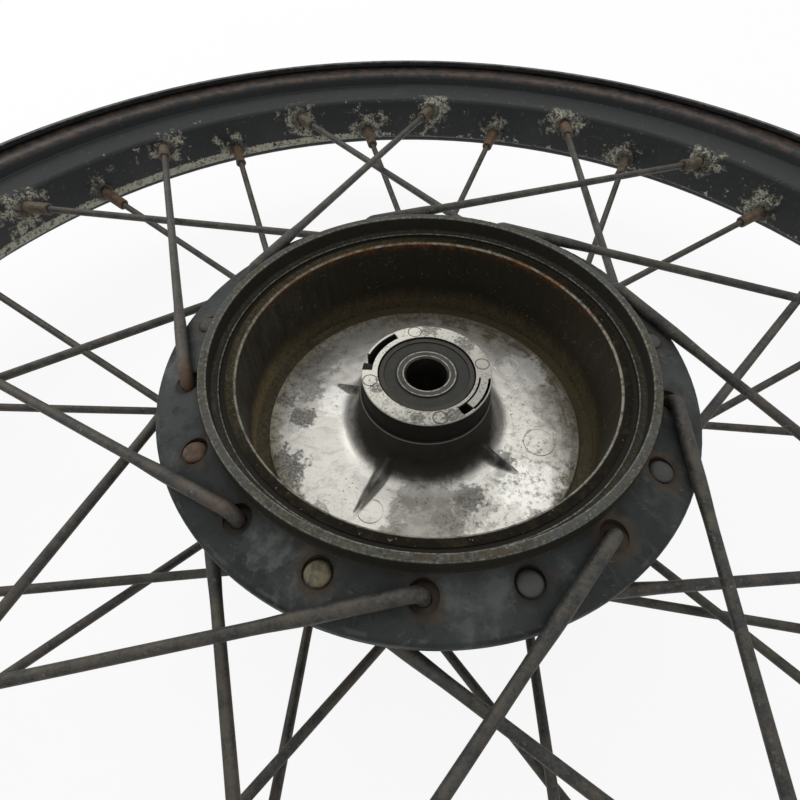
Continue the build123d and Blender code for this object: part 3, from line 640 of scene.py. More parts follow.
def brake_land(f, fine, broad):
    """The flat top of the braking ring: stained, paler on one side, with light spots."""
    land = f.mix(fine.step(0.4, 0.7), (0.009, 0.008, 0.0045), (0.030, 0.025, 0.014))
    sunny = (0.0 - f.x * 0.8 + f.y * 0.4 + (broad - 0.5) * 40).step(10.0, 56.0)
    tan = f.mix(fine.step(0.4, 0.65), (0.038, 0.031, 0.018), (0.085, 0.072, 0.045))
    land = f.mix(sunny * 0.8, f.shade(0.5, land), tan)
    land = f.mix(f.noise(6.0, 5, 0.7, shift=73).step(0.50, 0.66) * 0.6, land, (0.036, 0.026, 0.013))
    spot = f.noise(1.7, 3, 0.6, shift=229).step(0.665, 0.70)
    return f.mix(spot * 0.8, land, (0.24, 0.22, 0.165))


def iron_finish(tints):
    """Glazed braking ring with a stained land, a rusty line on its edge and marks down its wall."""
    f = Finish("drum_iron_finish")
    fine = f.noise(1.2, 5, 0.65)
    streak = f.noise(2.6, 5, 0.65, at=f.spot(f.angle * 62.0, 0.0, f.z * 0.16))
    broad = f.noise(22.0, 4, 0.6, shift=13)
    tint = f.shade(0.80 + streak * 0.6 + broad * 0.35, tints.iron)
    light = (0.0 - f.x * 0.9 + f.y * 0.1 + (broad - 0.5) * 30).step(24.0, 64.0)
    tint = f.mix(light * streak.step(0.36, 0.64) * 0.55, tint, (0.066, 0.058, 0.041))
    right = (f.x * 0.9 - f.y * 0.25 + (broad - 0.5) * 40).step(16.0, 66.0)
    tint = f.mix(right * streak.step(0.40, 0.68) * 0.30, tint, (0.048, 0.033, 0.019))
    scuff = f.noise(1.3, 5, 0.8, shift=29).step(0.61, 0.66)
    scuff = scuff * f.noise(11.0, 3, 0.6, shift=5).step(0.50, 0.56)
    tint = f.mix(scuff * 0.8, tint, (0.26, 0.24, 0.18))
    speck = f.noise(1.1, 2, 0.5, shift=37).step(0.70, 0.75)
    speck = speck * f.noise(18.0, 3, 0.6, shift=211).step(0.46, 0.56)
    tint = f.mix(speck * 0.6, tint, (0.24, 0.22, 0.165))
    left = (0.0 - f.x * 0.9 - f.y * 0.3 + (broad - 0.5) * 30).step(22.0, 62.0)
    low = 1 - (f.z + (streak - 0.5) * 12).step(2.0, 13.0)
    stain = f.mix(fine.step(0.4, 0.65), (0.22, 0.185, 0.110), (0.120, 0.082, 0.044))
    tint = f.mix(low * (0.30 + left * 0.66), tint, f.shade(1.35, stain))
    top = f.z.step(BRAKE_TOP - 1.0, BRAKE_TOP - 0.5)
    tint = f.mix(top * 0.9, tint, brake_land(f, fine, broad))
    back = (f.y + (broad - 0.5) * 40).step(8.0, 40.0)
    mark = f.noise(4.0, 6, 0.75, shift=67).step(0.40, 0.60)
    broken = f.noise(3.0, 5, 0.7, shift=233).step(0.40, 0.54)
    crest = f.ridge(BRAKE_RADIUS, BRAKE_TOP - 0.1, 0.9) * (0.35 + broken * 0.6)
    tint = f.mix(crest * 0.88, tint, f.mix(back * mark, (0.36, 0.34, 0.28), (0.26, 0.150, 0.070)))
    rust = (f.z + (fine - 0.5) * 4).step(BRAKE_TOP - 4.3, BRAKE_TOP + 0.3) * back * mark * (1 - top)
    tint = f.mix(rust * 0.65, tint, tints.rust)
    rough = 0.36 + fine * 0.25 + rust * 0.25 + low * 0.15 + top * 0.1
    return f.close(tint, rough, 0.30 * (1 - rust) * (1 - top), fine * 0.4 + streak * 0.3, 0.10, gloss=0.06)


def steel_finish(name, tint, rough, lines=(), highlight_rings=()):
    """Ground bearing or spacer steel. lines are radii and widths of dark turned grooves, highlight_rings
    radii and widths of painted highlights: bright rings, broken in places."""
    f = Finish(name)
    fine = f.noise(0.8, 4, 0.6)
    stain = f.noise(4.0, 5, 0.7, shift=21).step(0.46, 0.70)
    shown = f.mix(stain * 0.5, f.shade(0.75 + fine * 0.4, tint), (0.040, 0.035, 0.027))
    relief = fine * 0.3
    # painted highlight: bright rings on the race, broken by noise
    for radius, width in highlight_rings:
        line = f.r.band(radius - width / 2, radius + width / 2, 0.1)
        worn = f.noise(2.4, 4, 0.7, shift=61).step(0.38, 0.56)
        shown = f.mix(line * (0.25 + worn * 0.7), shown, (0.27, 0.265, 0.24))
    for radius, width in lines:
        line = f.r.band(radius - width / 2, radius + width / 2, 0.12)
        shown = f.mix(line * 0.85, shown, (0.018, 0.016, 0.014))
        relief = relief - line * 0.7
    return f.close(shown, rough + stain * 0.2 + fine * 0.1, 0.85, relief, 0.08)


def rubber_finish(tints):
    """Dusty black rubber, darker in its moulded grooves."""
    f = Finish("seal_rubber_finish")
    fine = f.noise(0.7, 4, 0.6)
    dusty = f.noise(5.0, 5, 0.65, shift=9).step(0.42, 0.75)
    tint = f.mix(dusty * 0.4, f.shade(0.7 + fine * 0.5, tints.seal), (0.055, 0.050, 0.040))
    groove = f.r.band(15.2, 15.7, 0.12).max(f.r.band(11.0, 11.5, 0.12))
    tint = f.mix(groove * 0.8, tint, (0.006, 0.006, 0.005))
    return f.close(tint, 0.48 + fine * 0.16, 0.0, fine - groove * 0.8, 0.06, gloss=0.25)


def spoke_heads(f, tints, fine):
    """Colour of the heads that show on the drum side: painted over and worn, two of them bare."""
    cap = f.noise(3.0, 4, 0.7, shift=77)
    crown = f.mix(cap.step(0.46, 0.62), f.shade(0.45 + fine * 0.4, tints.hub_paint), (0.034, 0.031, 0.024))
    # steps from the first hole, and the two colours of a rusty head and a pale one
    for steps, shown, deep in (
        (-7, (0.092, 0.047, 0.022), (0.028, 0.019, 0.013)),
        (-5, (0.130, 0.110, 0.062), (0.045, 0.040, 0.028)),
    ):
        turn = math.radians(FIRST_HOLE + steps * HOLE_STEP)
        head_spot = f.blot(HOLE_CIRCLE * math.cos(turn), HOLE_CIRCLE * math.sin(turn), 7.0, 0.1)
        crown = f.mix(head_spot, crown, f.mix(cap.step(0.36, 0.60), deep, shown))
    return crown


def wire_finish(tints):
    """Old spoke steel, rustier next to some elbows, with stains along its length."""
    f = Finish("spoke_wire_finish")
    along = f.node("ShaderNodeAttribute", output=2, attribute_name="along")
    fine = f.noise(0.9, 4, 0.7)
    patch = f.noise(7.0, 5, 0.7, shift=17)
    region = f.noise(60.0, 3, 0.6, shift=91)
    tint = f.shade(0.28 + fine.step(0.34, 0.66) * 0.55 + patch.step(0.36, 0.66) * 0.50, tints.wire)
    bare = f.noise(1.6, 4, 0.7, shift=263).step(0.58, 0.66)
    bare = bare * f.noise(16.0, 3, 0.6, shift=269).step(0.44, 0.56)
    tint = f.mix(bare * 0.5, tint, (0.20, 0.195, 0.175))
    stain = (patch + fine * 0.3 + region * 0.3).step(0.70, 0.92)
    tint = f.mix(stain * 0.5, tint, (0.082, 0.058, 0.038))
    green = f.noise(11.0, 4, 0.6, shift=121).step(0.50, 0.64)
    tint = f.mix(green * 0.35, tint, (0.085, 0.085, 0.060))
    elbow = 1 - (along + (patch - 0.5) * 26).step(8.0, 24.0)
    chosen = region.step(0.50, 0.58).max(f.blot(-80.0, -6.0, 20.0, 0.2))
    ochre = f.shade(0.35 + patch * 0.7, (0.190, 0.100, 0.045))
    tint = f.mix(elbow * chosen * (0.30 + fine * 0.6), tint, ochre)
    dark = f.noise(2.2, 5, 0.75, shift=37).step(0.54, 0.66)
    tint = f.mix(dark * 0.55, tint, (0.018, 0.016, 0.014))
    neck = (1 - along.step(4.0, 9.0)) * f.z.step(25.0, 27.0)
    tint = f.mix(neck * 0.45, tint, (0.016, 0.014, 0.012))
    head = 1 - along.step(2.3, 2.7)
    tint = f.mix(head * f.z.step(30.0, 31.0), tint, spoke_heads(f, tints, fine))
    rough = 0.46 + fine * 0.22 + elbow * chosen * 0.12
    metal = 0.28 * (1 - elbow * chosen * 0.6) * (1 - head)
    return f.close(tint, rough, metal, fine * 0.6 + patch * 0.3, 0.12)


def nipple_finish(tints):
    """Rust-brown nipples with dull plating left on the flats."""
    f = Finish("nipple_finish")
    fine = f.noise(0.9, 4, 0.7)
    patch = f.noise(3.5, 5, 0.7, shift=13)
    region = f.noise(70.0, 3, 0.6, shift=33).step(0.45, 0.60)
    plain = f.mix(patch.step(0.4, 0.66), (0.052, 0.045, 0.031), (0.120, 0.103, 0.068))
    tint = f.mix((0.10 + region * 0.42) * patch.step(0.35, 0.6), plain, f.shade(0.6 + fine * 0.5, tints.rust))
    tint = f.mix(fine.step(0.58, 0.72) * 0.6, tint, (0.022, 0.016, 0.012))
    return f.close(tint, 0.55 + fine * 0.25, 0.25, fine * 0.6 + patch * 0.4, 0.14)


def rim_finish(tints):
    """Dark paint, flaked to a pale coat round the nipples and along one edge, rust specks."""
    f = Finish("rim_finish")
    fine = f.noise(1.4, 5, 0.7)
    medium = f.noise(6.0, 6, 0.7, shift=19)
    broad = f.noise(34.0, 4, 0.6, shift=43)
    tint = f.shade(0.62 + broad * 0.5 + medium * 0.25, tints.rim_paint)
    tint = f.mix(f.noise(3.0, 5, 0.7, shift=59).step(0.58, 0.70) * 0.5, tint, (0.060, 0.062, 0.060))
    places = ((FIRST_HOLE + HOLE_STEP, NIPPLE_ROW), (FIRST_HOLE + 1.5 * HOLE_STEP, -NIPPLE_ROW))
    drum_row, far_row = (nearest_place(f, first, RIM_DEGREE, f.z - row) for first, row in places)
    nearest = drum_row.min(far_row)
    hub_side = 1 - f.r.step(WELL_EDGE, WELL_EDGE + 3.5)
    worn = 1 - (nearest + (medium - 0.5) * 60 + (broad - 0.5) * 50).step(3.0, 11.0)
    left = (broad * 60 - f.x * 0.6).step(10.0, 90.0)
    strip = (1 - (f.z + (medium - 0.5) * 14).step(-9.5, -4.5)) * (0.25 + left * 0.75)
    flaked = (medium * 0.75 + fine * 0.25 + strip * 0.22).step(0.625, 0.645)
    lost = (worn * fine.step(0.40, 0.50)).max(flaked) * hub_side
    holes = f.noise(2.0, 5, 0.75, shift=271).step(0.50, 0.58)
    pale = f.mix(holes * 0.85, f.shade(0.75 + medium * 0.6, tints.undercoat), (0.050, 0.048, 0.036))
    tint = f.mix(lost * 0.92, tint, pale)
    rust = f.noise(2.4, 6, 0.8, shift=83).step(0.60, 0.70) * (0.25 + lost * 0.75)
    tint = f.mix(rust * 0.8, tint, tints.rust)
    ring = 1 - (nearest + (fine - 0.5) * 2).step(4.6, 6.6)
    tint = f.mix(ring * hub_side * 0.7, tint, (0.022, 0.018, 0.014))
    # the bead seats, between the rim's two edges
    seat = f.r.step(266.5, 268.0) * (1 - f.z.abs().step(22.0, 23.0)) * (1 - f.r.step(279.0, 280.0))
    tint = f.mix(seat * medium.step(0.42, 0.6) * 0.6, tint, (0.10, 0.055, 0.030))
    bare_edge = f.z.abs().step(24.6, 25.8) * medium.step(0.46, 0.60)
    tint = f.mix(bare_edge * 0.5, tint, (0.12, 0.11, 0.095))
    relief = fine * 0.35 - lost * 0.5 + medium * 0.2
    return f.close(tint, 0.36 + fine * 0.2 + lost * 0.28 + rust * 0.1, 0.0, relief, 0.16, gloss=0.30)


def floor_finish(tints):
    """Matt white floor that stays white to the eye and keeps a faint shadow."""
    f = Finish("floor_finish")
    shader = f.node("ShaderNodeBsdfPrincipled", {"Base Color": (*tints.floor, 1.0), "Roughness": 0.9})
    white = f.node("ShaderNodeEmission", {"Strength": 1.0})
    seen = f.node("ShaderNodeLightPath", output=0).max(f.node("ShaderNodeLightPath", output=3))
    mixed = f.node("ShaderNodeMixShader", {0: seen * 0.88, 1: shader, 2: white})
    f.node("ShaderNodeOutputMaterial", {"Surface": mixed})
    return f.material


# ---- making pieces ----
def put(name, data):
    """A new object in the scene, at the origin."""
    made = bpy.data.objects.new(name, data)
    bpy.context.collection.objects.link(made)
    return made


def as_mesh(name, shape, sharp):
    """A mesh from a bmesh, shaded smooth up to an angle in degrees."""
    mesh = bpy.data.meshes.new(name)
    shape.to_mesh(mesh)
    shape.free()
    mesh.shade_smooth()
    mesh.set_sharp_from_angle(angle=math.radians(sharp))
    return mesh


def polar(radius, degrees, height):
    """A place in millimetres from its distance and direction from the axle."""
    turn = math.radians(degrees)
    return Vector((radius * math.cos(turn), radius * math.sin(turn), height))


def smooth_copy(name, node, slot, body, material, sharp=28.0):
    """A piece with the shape of a CAD node, its facets joined and shaded smooth up to an angle."""
    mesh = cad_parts[node].data.copy()
    mesh.name = name
    shape = bmesh.new()
    shape.from_mesh(mesh)
    bmesh.ops.remove_doubles(shape, verts=shape.verts, dist=0.000004)
    limit = math.radians(sharp)
    for face in shape.faces:
        face.smooth = True
    for edge in shape.edges:
        edge.smooth = len(edge.link_faces) == 2 and edge.calc_face_angle(0.0) < limit
    shape.to_mesh(mesh)
    shape.free()
    mesh.materials.clear()
    mesh.materials.append(material)
    return settle(put(name, mesh), slot, body, node)


def floor_height(sizes, radius, degrees):
    """Height of the cast drum floor: a slightly uneven web with four ribs running off the boss."""
    spot = polar(radius, degrees, 0.0)
    calm = min(1.0, max(0.0, (59.6 - radius) / 4.0))
    waves = 0.20 * noise.noise(spot / 13.0) + 0.07 * noise.noise(spot / 4.0 + Vector((7.0, 3.0, 1.0)))
    height = WEB_LEVEL + calm * waves
    for angle, reach in RIBS:
        if radius >= reach:
            continue
        across = abs(radius * math.sin(math.radians(degrees - angle)))
        ahead = math.cos(math.radians(degrees - angle)) > 0
        fade = (reach - radius) / (reach - 26.0)
        width = 1.1 + 3.6 * fade
        if ahead and across < width:
            height += sizes.rib_height * fade * (0.5 + 0.5 * math.cos(math.pi * across / width))
    return height


def floor_angles():
    """Directions round the axle, in degrees, closer together over the ribs."""
    angles = [n * 1.0 for n in range(-180, 180)]
    for angle, _reach in RIBS:
        angles += [angle + n * 0.25 for n in range(-20, 21)]
    return sorted({round((a + 180) % 360 - 180, 2) for a in angles})


def floor_rings(sizes, angles):
    """Rings of radius and height: boss side, flare, web, its rim, and the underside."""
    start, top = FLARE_START
    end = start + sizes.flare
    outside, underside = 59.85, -1.0
    rings = [[spot] * len(angles) for spot in ((23.8, 17.0), (24.18, 17.75))]
    sides = 6
    for n in range(sides + 1):
        share = n / sides
        rings.append([(24.25 + (start - 24.25) * share, 17.6 - 7.9 * share)] * len(angles))
    flare_steps = 16
    for n in range(1, flare_steps + 1):
        turn = math.pi / 2 * n / flare_steps
        radius = start + sizes.flare * (1 - math.cos(turn))
        least = WEB_LEVEL + (top - WEB_LEVEL) * (1 - math.sin(turn))
        rings.append([(radius, max(floor_height(sizes, radius, a), least)) for a in angles])
    web_steps = 52
    for n in range(1, web_steps + 1):
        radius = end + (59.7 - end) * n / web_steps
        rings.append([(radius, floor_height(sizes, radius, a)) for a in angles])
    for spot in ((outside, 0.62), (outside, underside), (24.0, underside)):
        rings.append([spot] * len(angles))
    return rings


def join_rings(shape, rings):
    """Adds the faces between closed rings of corners."""
    for low, high in zip(rings, rings[1:]):
        for n in range(len(low)):
            after = (n + 1) % len(low)
            shape.faces.new((low[n], high[n], high[after], low[after]))


def floor_skin(sizes):
    """The cast drum floor as a closed shape: boss side, flared foot, web with ribs and pin marks."""
    angles = floor_angles()
    shape = bmesh.new()
    made = []
    for ring in floor_rings(sizes, angles):
        corners = []
        for (radius, height), degrees in zip(ring, angles):
            corners.append(shape.verts.new(polar(radius, degrees, height) * MM))
        made.append(corners)
    join_rings(shape, made + made[:1])
    for radius, degrees, size in PIN_MARKS:
        centre = polar(radius, degrees, floor_height(sizes, radius, degrees) - 0.25) * MM
        section = (
            (size - 0.32, -0.3), (size - 0.3, 0.33), (size - 0.16, 0.40), (size, 0.33), (size + 0.02, -0.3),
        )
        turned_ring(shape, section, Matrix.Translation(centre), 72)
    bmesh.ops.recalc_face_normals(shape, faces=shape.faces)
    return shape


def turned_ring(shape, section, matrix, sides):
    """Adds a closed ring to a bmesh. section is radius and height pairs in millimetres."""
    loops = []
    for radius, height in section:
        degrees = [360.0 * n / sides for n in range(sides)]
        loops.append([shape.verts.new(matrix @ (polar(radius, a, height) * MM)) for a in degrees])
    join_rings(shape, loops + loops[:1])


def clear_way_for_floor(hub):
    """Sinks the plain floor of a hub copy below the cast one that covers it, and packs the
    groove outside the braking ring with hardened grease."""
    for vertex in hub.data.vertices:
        radius = math.hypot(vertex.co.x, vertex.co.y) / MM
        height = vertex.co.z / MM
        if 24.5 < radius < 59.8 and 0.0 < height < 13.0:
            vertex.co.z = 0.2 * MM
        if BRAKE_SEAT - 0.4 < radius < STEP_EDGE + 0.3 and 33.0 < height < 34.5:
            vertex.co.z = (BRAKE_TOP - 0.4) * MM


def settle(piece, slot, body, *nodes):
    """Hangs a finished piece on its body and lets it stand for CAD nodes."""
    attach(piece, body)
    if nodes:
        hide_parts(*nodes)
    return piece


def turned_shape(shape, profile, matrix, sides, square=0.0, flats=(0.0, 0.0)):
    """Adds a turned solid to a bmesh. profile is radius and height pairs in millimetres;
    between the two heights in flats its section is a square of that width across the flats."""
    rings = []
    for radius, height in profile:
        ring = []
        for n in range(sides):
            angle = 2 * math.pi * n / sides
            reach = radius
            if flats[0] >= height >= flats[1] and square:
                flat = square / 2 / max(abs(math.cos(angle)), abs(math.sin(angle)))
                reach = min(radius, flat)
            spot = Vector((reach * math.cos(angle), reach * math.sin(angle), height)) * MM
            ring.append(shape.verts.new(matrix @ spot))
        rings.append(ring)
    for low, high in zip(rings, rings[1:]):
        for n in range(sides):
            corners = (low[n], low[(n + 1) % sides], high[(n + 1) % sides], high[n])
            shape.faces.new(corners)
    shape.faces.new(list(reversed(rings[0])))
    shape.faces.new(rings[-1])


def lacing(sizes):
    """The four spoke families. Each has its name, hole circle, first hole in degrees, height of
    its head's seat and of its elbow, way out of the hole (1 up, -1 down), turn to its nipple in
    degrees, and height of its nipple row."""
    near, far, row = sizes.hole_circle, sizes.far_hole_circle, sizes.row_offset
    first = FIRST_HOLE
    step = HOLE_STEP
    return (
        ("near_outer", near, first, 25.75, 33.0, 1, -LACING_TURN, row),
        ("near_inner", near, first + step, 32.5, 25.55, -1, LACING_TURN, row),
        ("far_outer", far, first + step / 2, -41.85, -44.55, -1, LACING_TURN, -row),
        ("far_inner", far, first + step * 1.5, -44.55, -41.65, 1, -LACING_TURN, -row),
    )


def spoke_line(sizes, circle, first, seat, bend, elbow, turn, row):
    """Stations along one spoke: place in millimetres and radius, from its head to its tip."""
    hole = Matrix.Rotation(math.radians(first), 3, "Z") @ Vector((circle, 0, 0))
    end = Matrix.Rotation(math.radians(first + turn), 3, "Z") @ Vector((sizes.well_radius, 0, row))
    level = Vector((end.x - hole.x, end.y - hole.y, 0))
    reach = level.length
    level.normalize()
    bend_radius = sizes.bend_radius
    rise = (row - bend) * elbow
    run = reach - bend_radius
    fall = math.asin(bend_radius / math.hypot(run, rise)) - math.atan2(rise, run)

    def place(x, y):
        return hole + level * x + Vector((0, 0, y * elbow))

    floor = seat * elbow
    low = floor - sizes.head_height
    dome = ((0.02, 0.0), (0.45, 0.05), (0.74, 0.22), (0.92, 0.55), (1.0, 0.95), (1.0, 1.8), (0.97, 1.9))
    stations = [(place(0, low + height), sizes.head_radius * share) for share, height in dome]
    stations.append((place(0, floor + 0.02), sizes.butt_radius))
    start = bend * elbow
    stations.append((place(0, (floor + start) / 2), sizes.butt_radius))
    swept = math.pi / 2 + fall
    for n in range(11):
        turned = swept * n / 10
        spot = place(bend_radius * (1 - math.cos(turned)), start + bend_radius * math.sin(turned))
        stations.append((spot, sizes.butt_radius))
    knee = Vector((bend_radius * (1 + math.sin(fall)), start + bend_radius * math.cos(fall)))
    along = Vector((math.cos(fall), -math.sin(fall)))
    tip_gap = sizes.nipple_seat + 1.0  # the wire ends inside the nipple's head
    straight = (Vector((reach, row * elbow)) - knee).length - tip_gap
    count = int(straight / 4)
    for n in range(1, count + 1):
        distance = straight * n / count
        taper = min(1.0, max(0.0, (distance - sizes.butt_length) / sizes.taper_length))
        radius = sizes.butt_radius + (sizes.shaft_radius - sizes.butt_radius) * taper
        spot = knee + along * distance
        stations.append((place(spot.x, spot.y), radius))
    axis = level * along.x + Vector((0, 0, along.y * elbow))
    return stations, end, axis


def station_curve(name, stations):
    """A curve through places in millimetres, each with its radius."""
    line = bpy.data.curves.new(name, "CURVE")
    line.dimensions = "3D"
    wire = line.splines.new("POLY")
    wire.points.add(len(stations) - 1)
    for point, (spot, radius) in zip(wire.points, stations):
        point.co = (*(spot * MM), 1.0)
        point.radius = radius * MM
    return line


def spoke_tree():
    """Geometry nodes: wraps a tube round each station line and repeats it round the axle."""
    tree = bpy.data.node_groups.new("spoke_family", "GeometryNodeTree")
    g = Graph(tree)
    face = tree.interface
    face.new_socket("Geometry", in_out="INPUT", socket_type="NodeSocketGeometry")
    for name, kind in (
        ("Count", "Int"), ("Sides", "Int"), ("Waviness", "Float"), ("Seed", "Float"), ("Finish", "Material"),
    ):
        face.new_socket(name, in_out="INPUT", socket_type="NodeSocket" + kind)
    face.new_socket("Geometry", in_out="OUTPUT", socket_type="NodeSocketGeometry")

    def given(n):
        return g.node("NodeGroupInput", output=n)

    spot = g.node("GeometryNodeInputPosition")
    along = g.node("GeometryNodeSplineParameter", output=1)
    marked = g.node(
        "GeometryNodeStoreNamedAttribute",
        {"Geometry": given(0), "Name": "along", "Value": along / MM},
        data_type="FLOAT",
        domain="POINT",
    )
    copies = g.node("GeometryNodeMeshLine", {"Count": given(1), "Offset": (0.0, 0.0, 0.0)})
    index = g.node("GeometryNodeInputIndex")
    turn = g.node("ShaderNodeCombineXYZ", {"Z": index * math.tau / given(1)})
    repeated = g.node(
        "GeometryNodeInstanceOnPoints", {"Points": copies, "Instance": marked, "Rotation": turn}
    )
    lines = g.node("GeometryNodeRealizeInstances", {"Geometry": repeated})
    waves = {"Vector": spot, "Scale": 16.0, "W": given(4)}
    drift = g.node("ShaderNodeTexNoise", waves, output=1, noise_dimensions="4D")
    centred = g.node("ShaderNodeVectorMath", {0: drift, 1: (0.5, 0.5, 0.5)}, operation="SUBTRACT")
    free = along.step(0.016, 0.05) * given(3) * (2 * MM)
    shift = g.node("ShaderNodeVectorMath", {0: centred, "Scale": free}, operation="SCALE")
    wavy = g.node("GeometryNodeSetPosition", {"Geometry": lines, "Offset": shift})
    circle = g.node("GeometryNodeCurvePrimitiveCircle", {"Resolution": given(2), "Radius": 1.0})
    radius = g.node("GeometryNodeInputRadius")
    wrapped = {"Curve": wavy, "Profile Curve": circle, "Scale": radius, "Fill Caps": True}
    tube = g.node("GeometryNodeCurveToMesh", wrapped)
    smooth = g.node("GeometryNodeSetShadeSmooth", {"Geometry": tube})
    done = g.node("GeometryNodeSetMaterial", {"Geometry": smooth, "Material": given(5)})
    g.node("NodeGroupOutput", {"Geometry": done})
    return tree


def repeat_tree():
    """Geometry nodes: repeats a finished shape at even steps round the axle."""
    tree = bpy.data.node_groups.new("round_the_axle", "GeometryNodeTree")
    g = Graph(tree)
    face = tree.interface
    face.new_socket("Geometry", in_out="INPUT", socket_type="NodeSocketGeometry")
    face.new_socket("Count", in_out="INPUT", socket_type="NodeSocketInt")
    face.new_socket("Step", in_out="INPUT", socket_type="NodeSocketFloat")
    face.new_socket("Finish", in_out="INPUT", socket_type="NodeSocketMaterial")
    face.new_socket("Geometry", in_out="OUTPUT", socket_type="NodeSocketGeometry")

    def given(n):
        return g.node("NodeGroupInput", output=n)

    copies = g.node("GeometryNodeMeshLine", {"Count": given(1), "Offset": (0.0, 0.0, 0.0)})
    turn = g.node("ShaderNodeCombineXYZ", {"Z": g.node("GeometryNodeInputIndex") * given(2)})
    repeated = g.node(
        "GeometryNodeInstanceOnPoints", {"Points": copies, "Instance": given(0), "Rotation": turn}
    )
    whole = g.node("GeometryNodeRealizeInstances", {"Geometry": repeated})
    done = g.node("GeometryNodeSetMaterial", {"Geometry": whole, "Material": given(3)})
    g.node("NodeGroupOutput", {"Geometry": done})
    return tree


def add_nipple(shape, sizes, place):
    """Adds the nipple of one spoke: hub end, flats, round neck and head."""
    wide, end = sizes.nipple_radius, -sizes.nipple_length
    flats = (-6.6, end + 1.6)
    profile = (
        (1.85, end + 1.0), (2.0, end), (wide - 0.45, end), (wide, end + 0.5), (wide, flats[1]),
        (wide, end + 1.8), (wide, -7.0), (wide, flats[0]), (wide, -6.2), (wide, 0.0),
        (wide + 1.1, 0.2), (wide + 1.25, 0.9), (wide + 0.7, 2.2), (wide - 0.2, 2.6), (0.3, 2.6),
    )
    _stations, end_point, axis = spoke_line(sizes, *place)
    seat = (end_point - axis * sizes.nipple_seat) * MM
    turn = axis.to_track_quat("Z", "Y").to_matrix().to_4x4()
    turned_shape(shape, profile, Matrix.Translation(seat) @ turn, 24, sizes.nipple_square, flats)


def grow(source, tree, name, **inputs):
    """Runs a geometry node tree on a source object and keeps the result as a plain mesh piece."""
    modifier = source.modifiers.new("grow", "NODES")
    modifier.node_group = tree
    for socket in tree.interface.items_tree:
        if socket.in_out == "INPUT" and socket.name in inputs:
            modifier[socket.identifier] = inputs[socket.name]
    source.data.update_tag()
    bpy.context.view_layer.update()
    depsgraph = bpy.context.evaluated_depsgraph_get()
    mesh = bpy.data.meshes.new_from_object(source.evaluated_get(depsgraph), depsgraph=depsgraph)
    mesh.name = name
    source.modifiers.remove(modifier)
    bpy.data.objects.remove(source)
    return put(name, mesh)


# ---- operators ----
class WHEEL_OT_hub(bpy.types.Operator):
    """Finish the hub casting and the braking ring in it"""

    bl_idname = "wheel.hub"
    bl_label = "Hub and Drum"

    def execute(self, context):
        tints = context.scene.wheel_colours
        finish = hub_finish(tints)
        hub = smooth_copy("hub", "hub_casting", "hub_paint", WHEEL, finish)
        clear_way_for_floor(hub)
        mesh = as_mesh("cast_floor", floor_skin(in_millimetres(context.scene.wheel_sizes)), 40)
        mesh.materials.append(finish)
        settle(put("cast_floor", mesh), "hub_paint", WHEEL)
        smooth_copy("drum_ring", "brake_liner", "iron", WHEEL, iron_finish(tints))
        return {"FINISHED"}


class WHEEL_OT_bearings(bpy.types.Operator):
    """Finish both ball bearings, the spacer between them and the dust seal"""

    bl_idname = "wheel.bearings"
    bl_label = "Bearings, Spacer and Dust Seal"

    def execute(self, context):
        tints = context.scene.wheel_colours
        outer_line = ((BEARING_RADIUS - 0.2, 0.4),)
        outer = steel_finish("outer_ring_finish", (0.045, 0.042, 0.036), 0.42, lines=outer_line)
        # radii and widths of the painted highlight rings on the inner race
        rubbed = ((10.3, 0.35), (8.35, 0.4))
        inner = steel_finish("inner_ring_finish", (0.052, 0.049, 0.043), 0.34, highlight_rings=rubbed)
        balls = steel_finish("ball_finish", (0.62, 0.62, 0.61), 0.12)
        plain = steel_finish("spacer_finish", (0.06, 0.055, 0.05), 0.45)
        rubber = rubber_finish(tints)
        for side in ("near", "far"):
            bearing = side + "_bearing_"
            for name, node, slot, body, finish in (
                ("race_outer", "outer_ring", "bearing_steel", WHEEL, outer),
                ("race_inner", "inner_ring", "bearing_steel", "axle_sleeve", inner),
                ("ball_row", "balls", "bearing_steel", side + "_ball_set", balls),
                ("ball_cage", "cage", "cage_steel", side + "_ball_set", plain),
                ("seal_in", "inner_seal", "seal_rubber", WHEEL, rubber),
                ("seal_out", "outer_seal", "seal_rubber", WHEEL, rubber),
            ):
                smooth_copy(bearing + name, bearing + node, slot, body, finish)
        for name, node, slot, body, finish in (
            ("spacer", "spacer_tube", "spacer_steel", "axle_sleeve", plain),
            ("spacer_ring", "spacer_collar", "spacer_steel", "axle_sleeve", plain),
            ("dust_case", "dust_seal_case", "seal_case_steel", WHEEL, plain),
            ("dust_lip", "dust_seal_lip", "seal_rubber", WHEEL, rubber),
            ("dust_spring", "dust_seal_spring", "bearing_steel", WHEEL, balls),
        ):
            smooth_copy(name, node, slot, body, finish)
        return {"FINISHED"}


class WHEEL_OT_spokes(bpy.types.Operator):
    """Lace the four families of butted, slightly wavy wire spokes"""

    bl_idname = "wheel.spokes"
    bl_label = "Spokes"

    def execute(self, context):
        sizes = in_millimetres(context.scene.wheel_sizes)
        tree = spoke_tree()
        finish = wire_finish(context.scene.wheel_colours)
        for number, (family, *place) in enumerate(lacing(sizes)):
            stations, _end, _axis = spoke_line(sizes, *place)
            line = station_curve("line_" + family, stations)
            inputs = {
                "Count": sizes.per_family,
                "Sides": 18,
                "Waviness": sizes.waviness,
                "Seed": 3.1 * number,
                "Finish": finish,
            }
            piece = grow(put("line_" + family, line), tree, "wires_" + family, **inputs)
            settle(piece, "spoke_steel", WHEEL, "spokes_" + family)
        return {"FINISHED"}


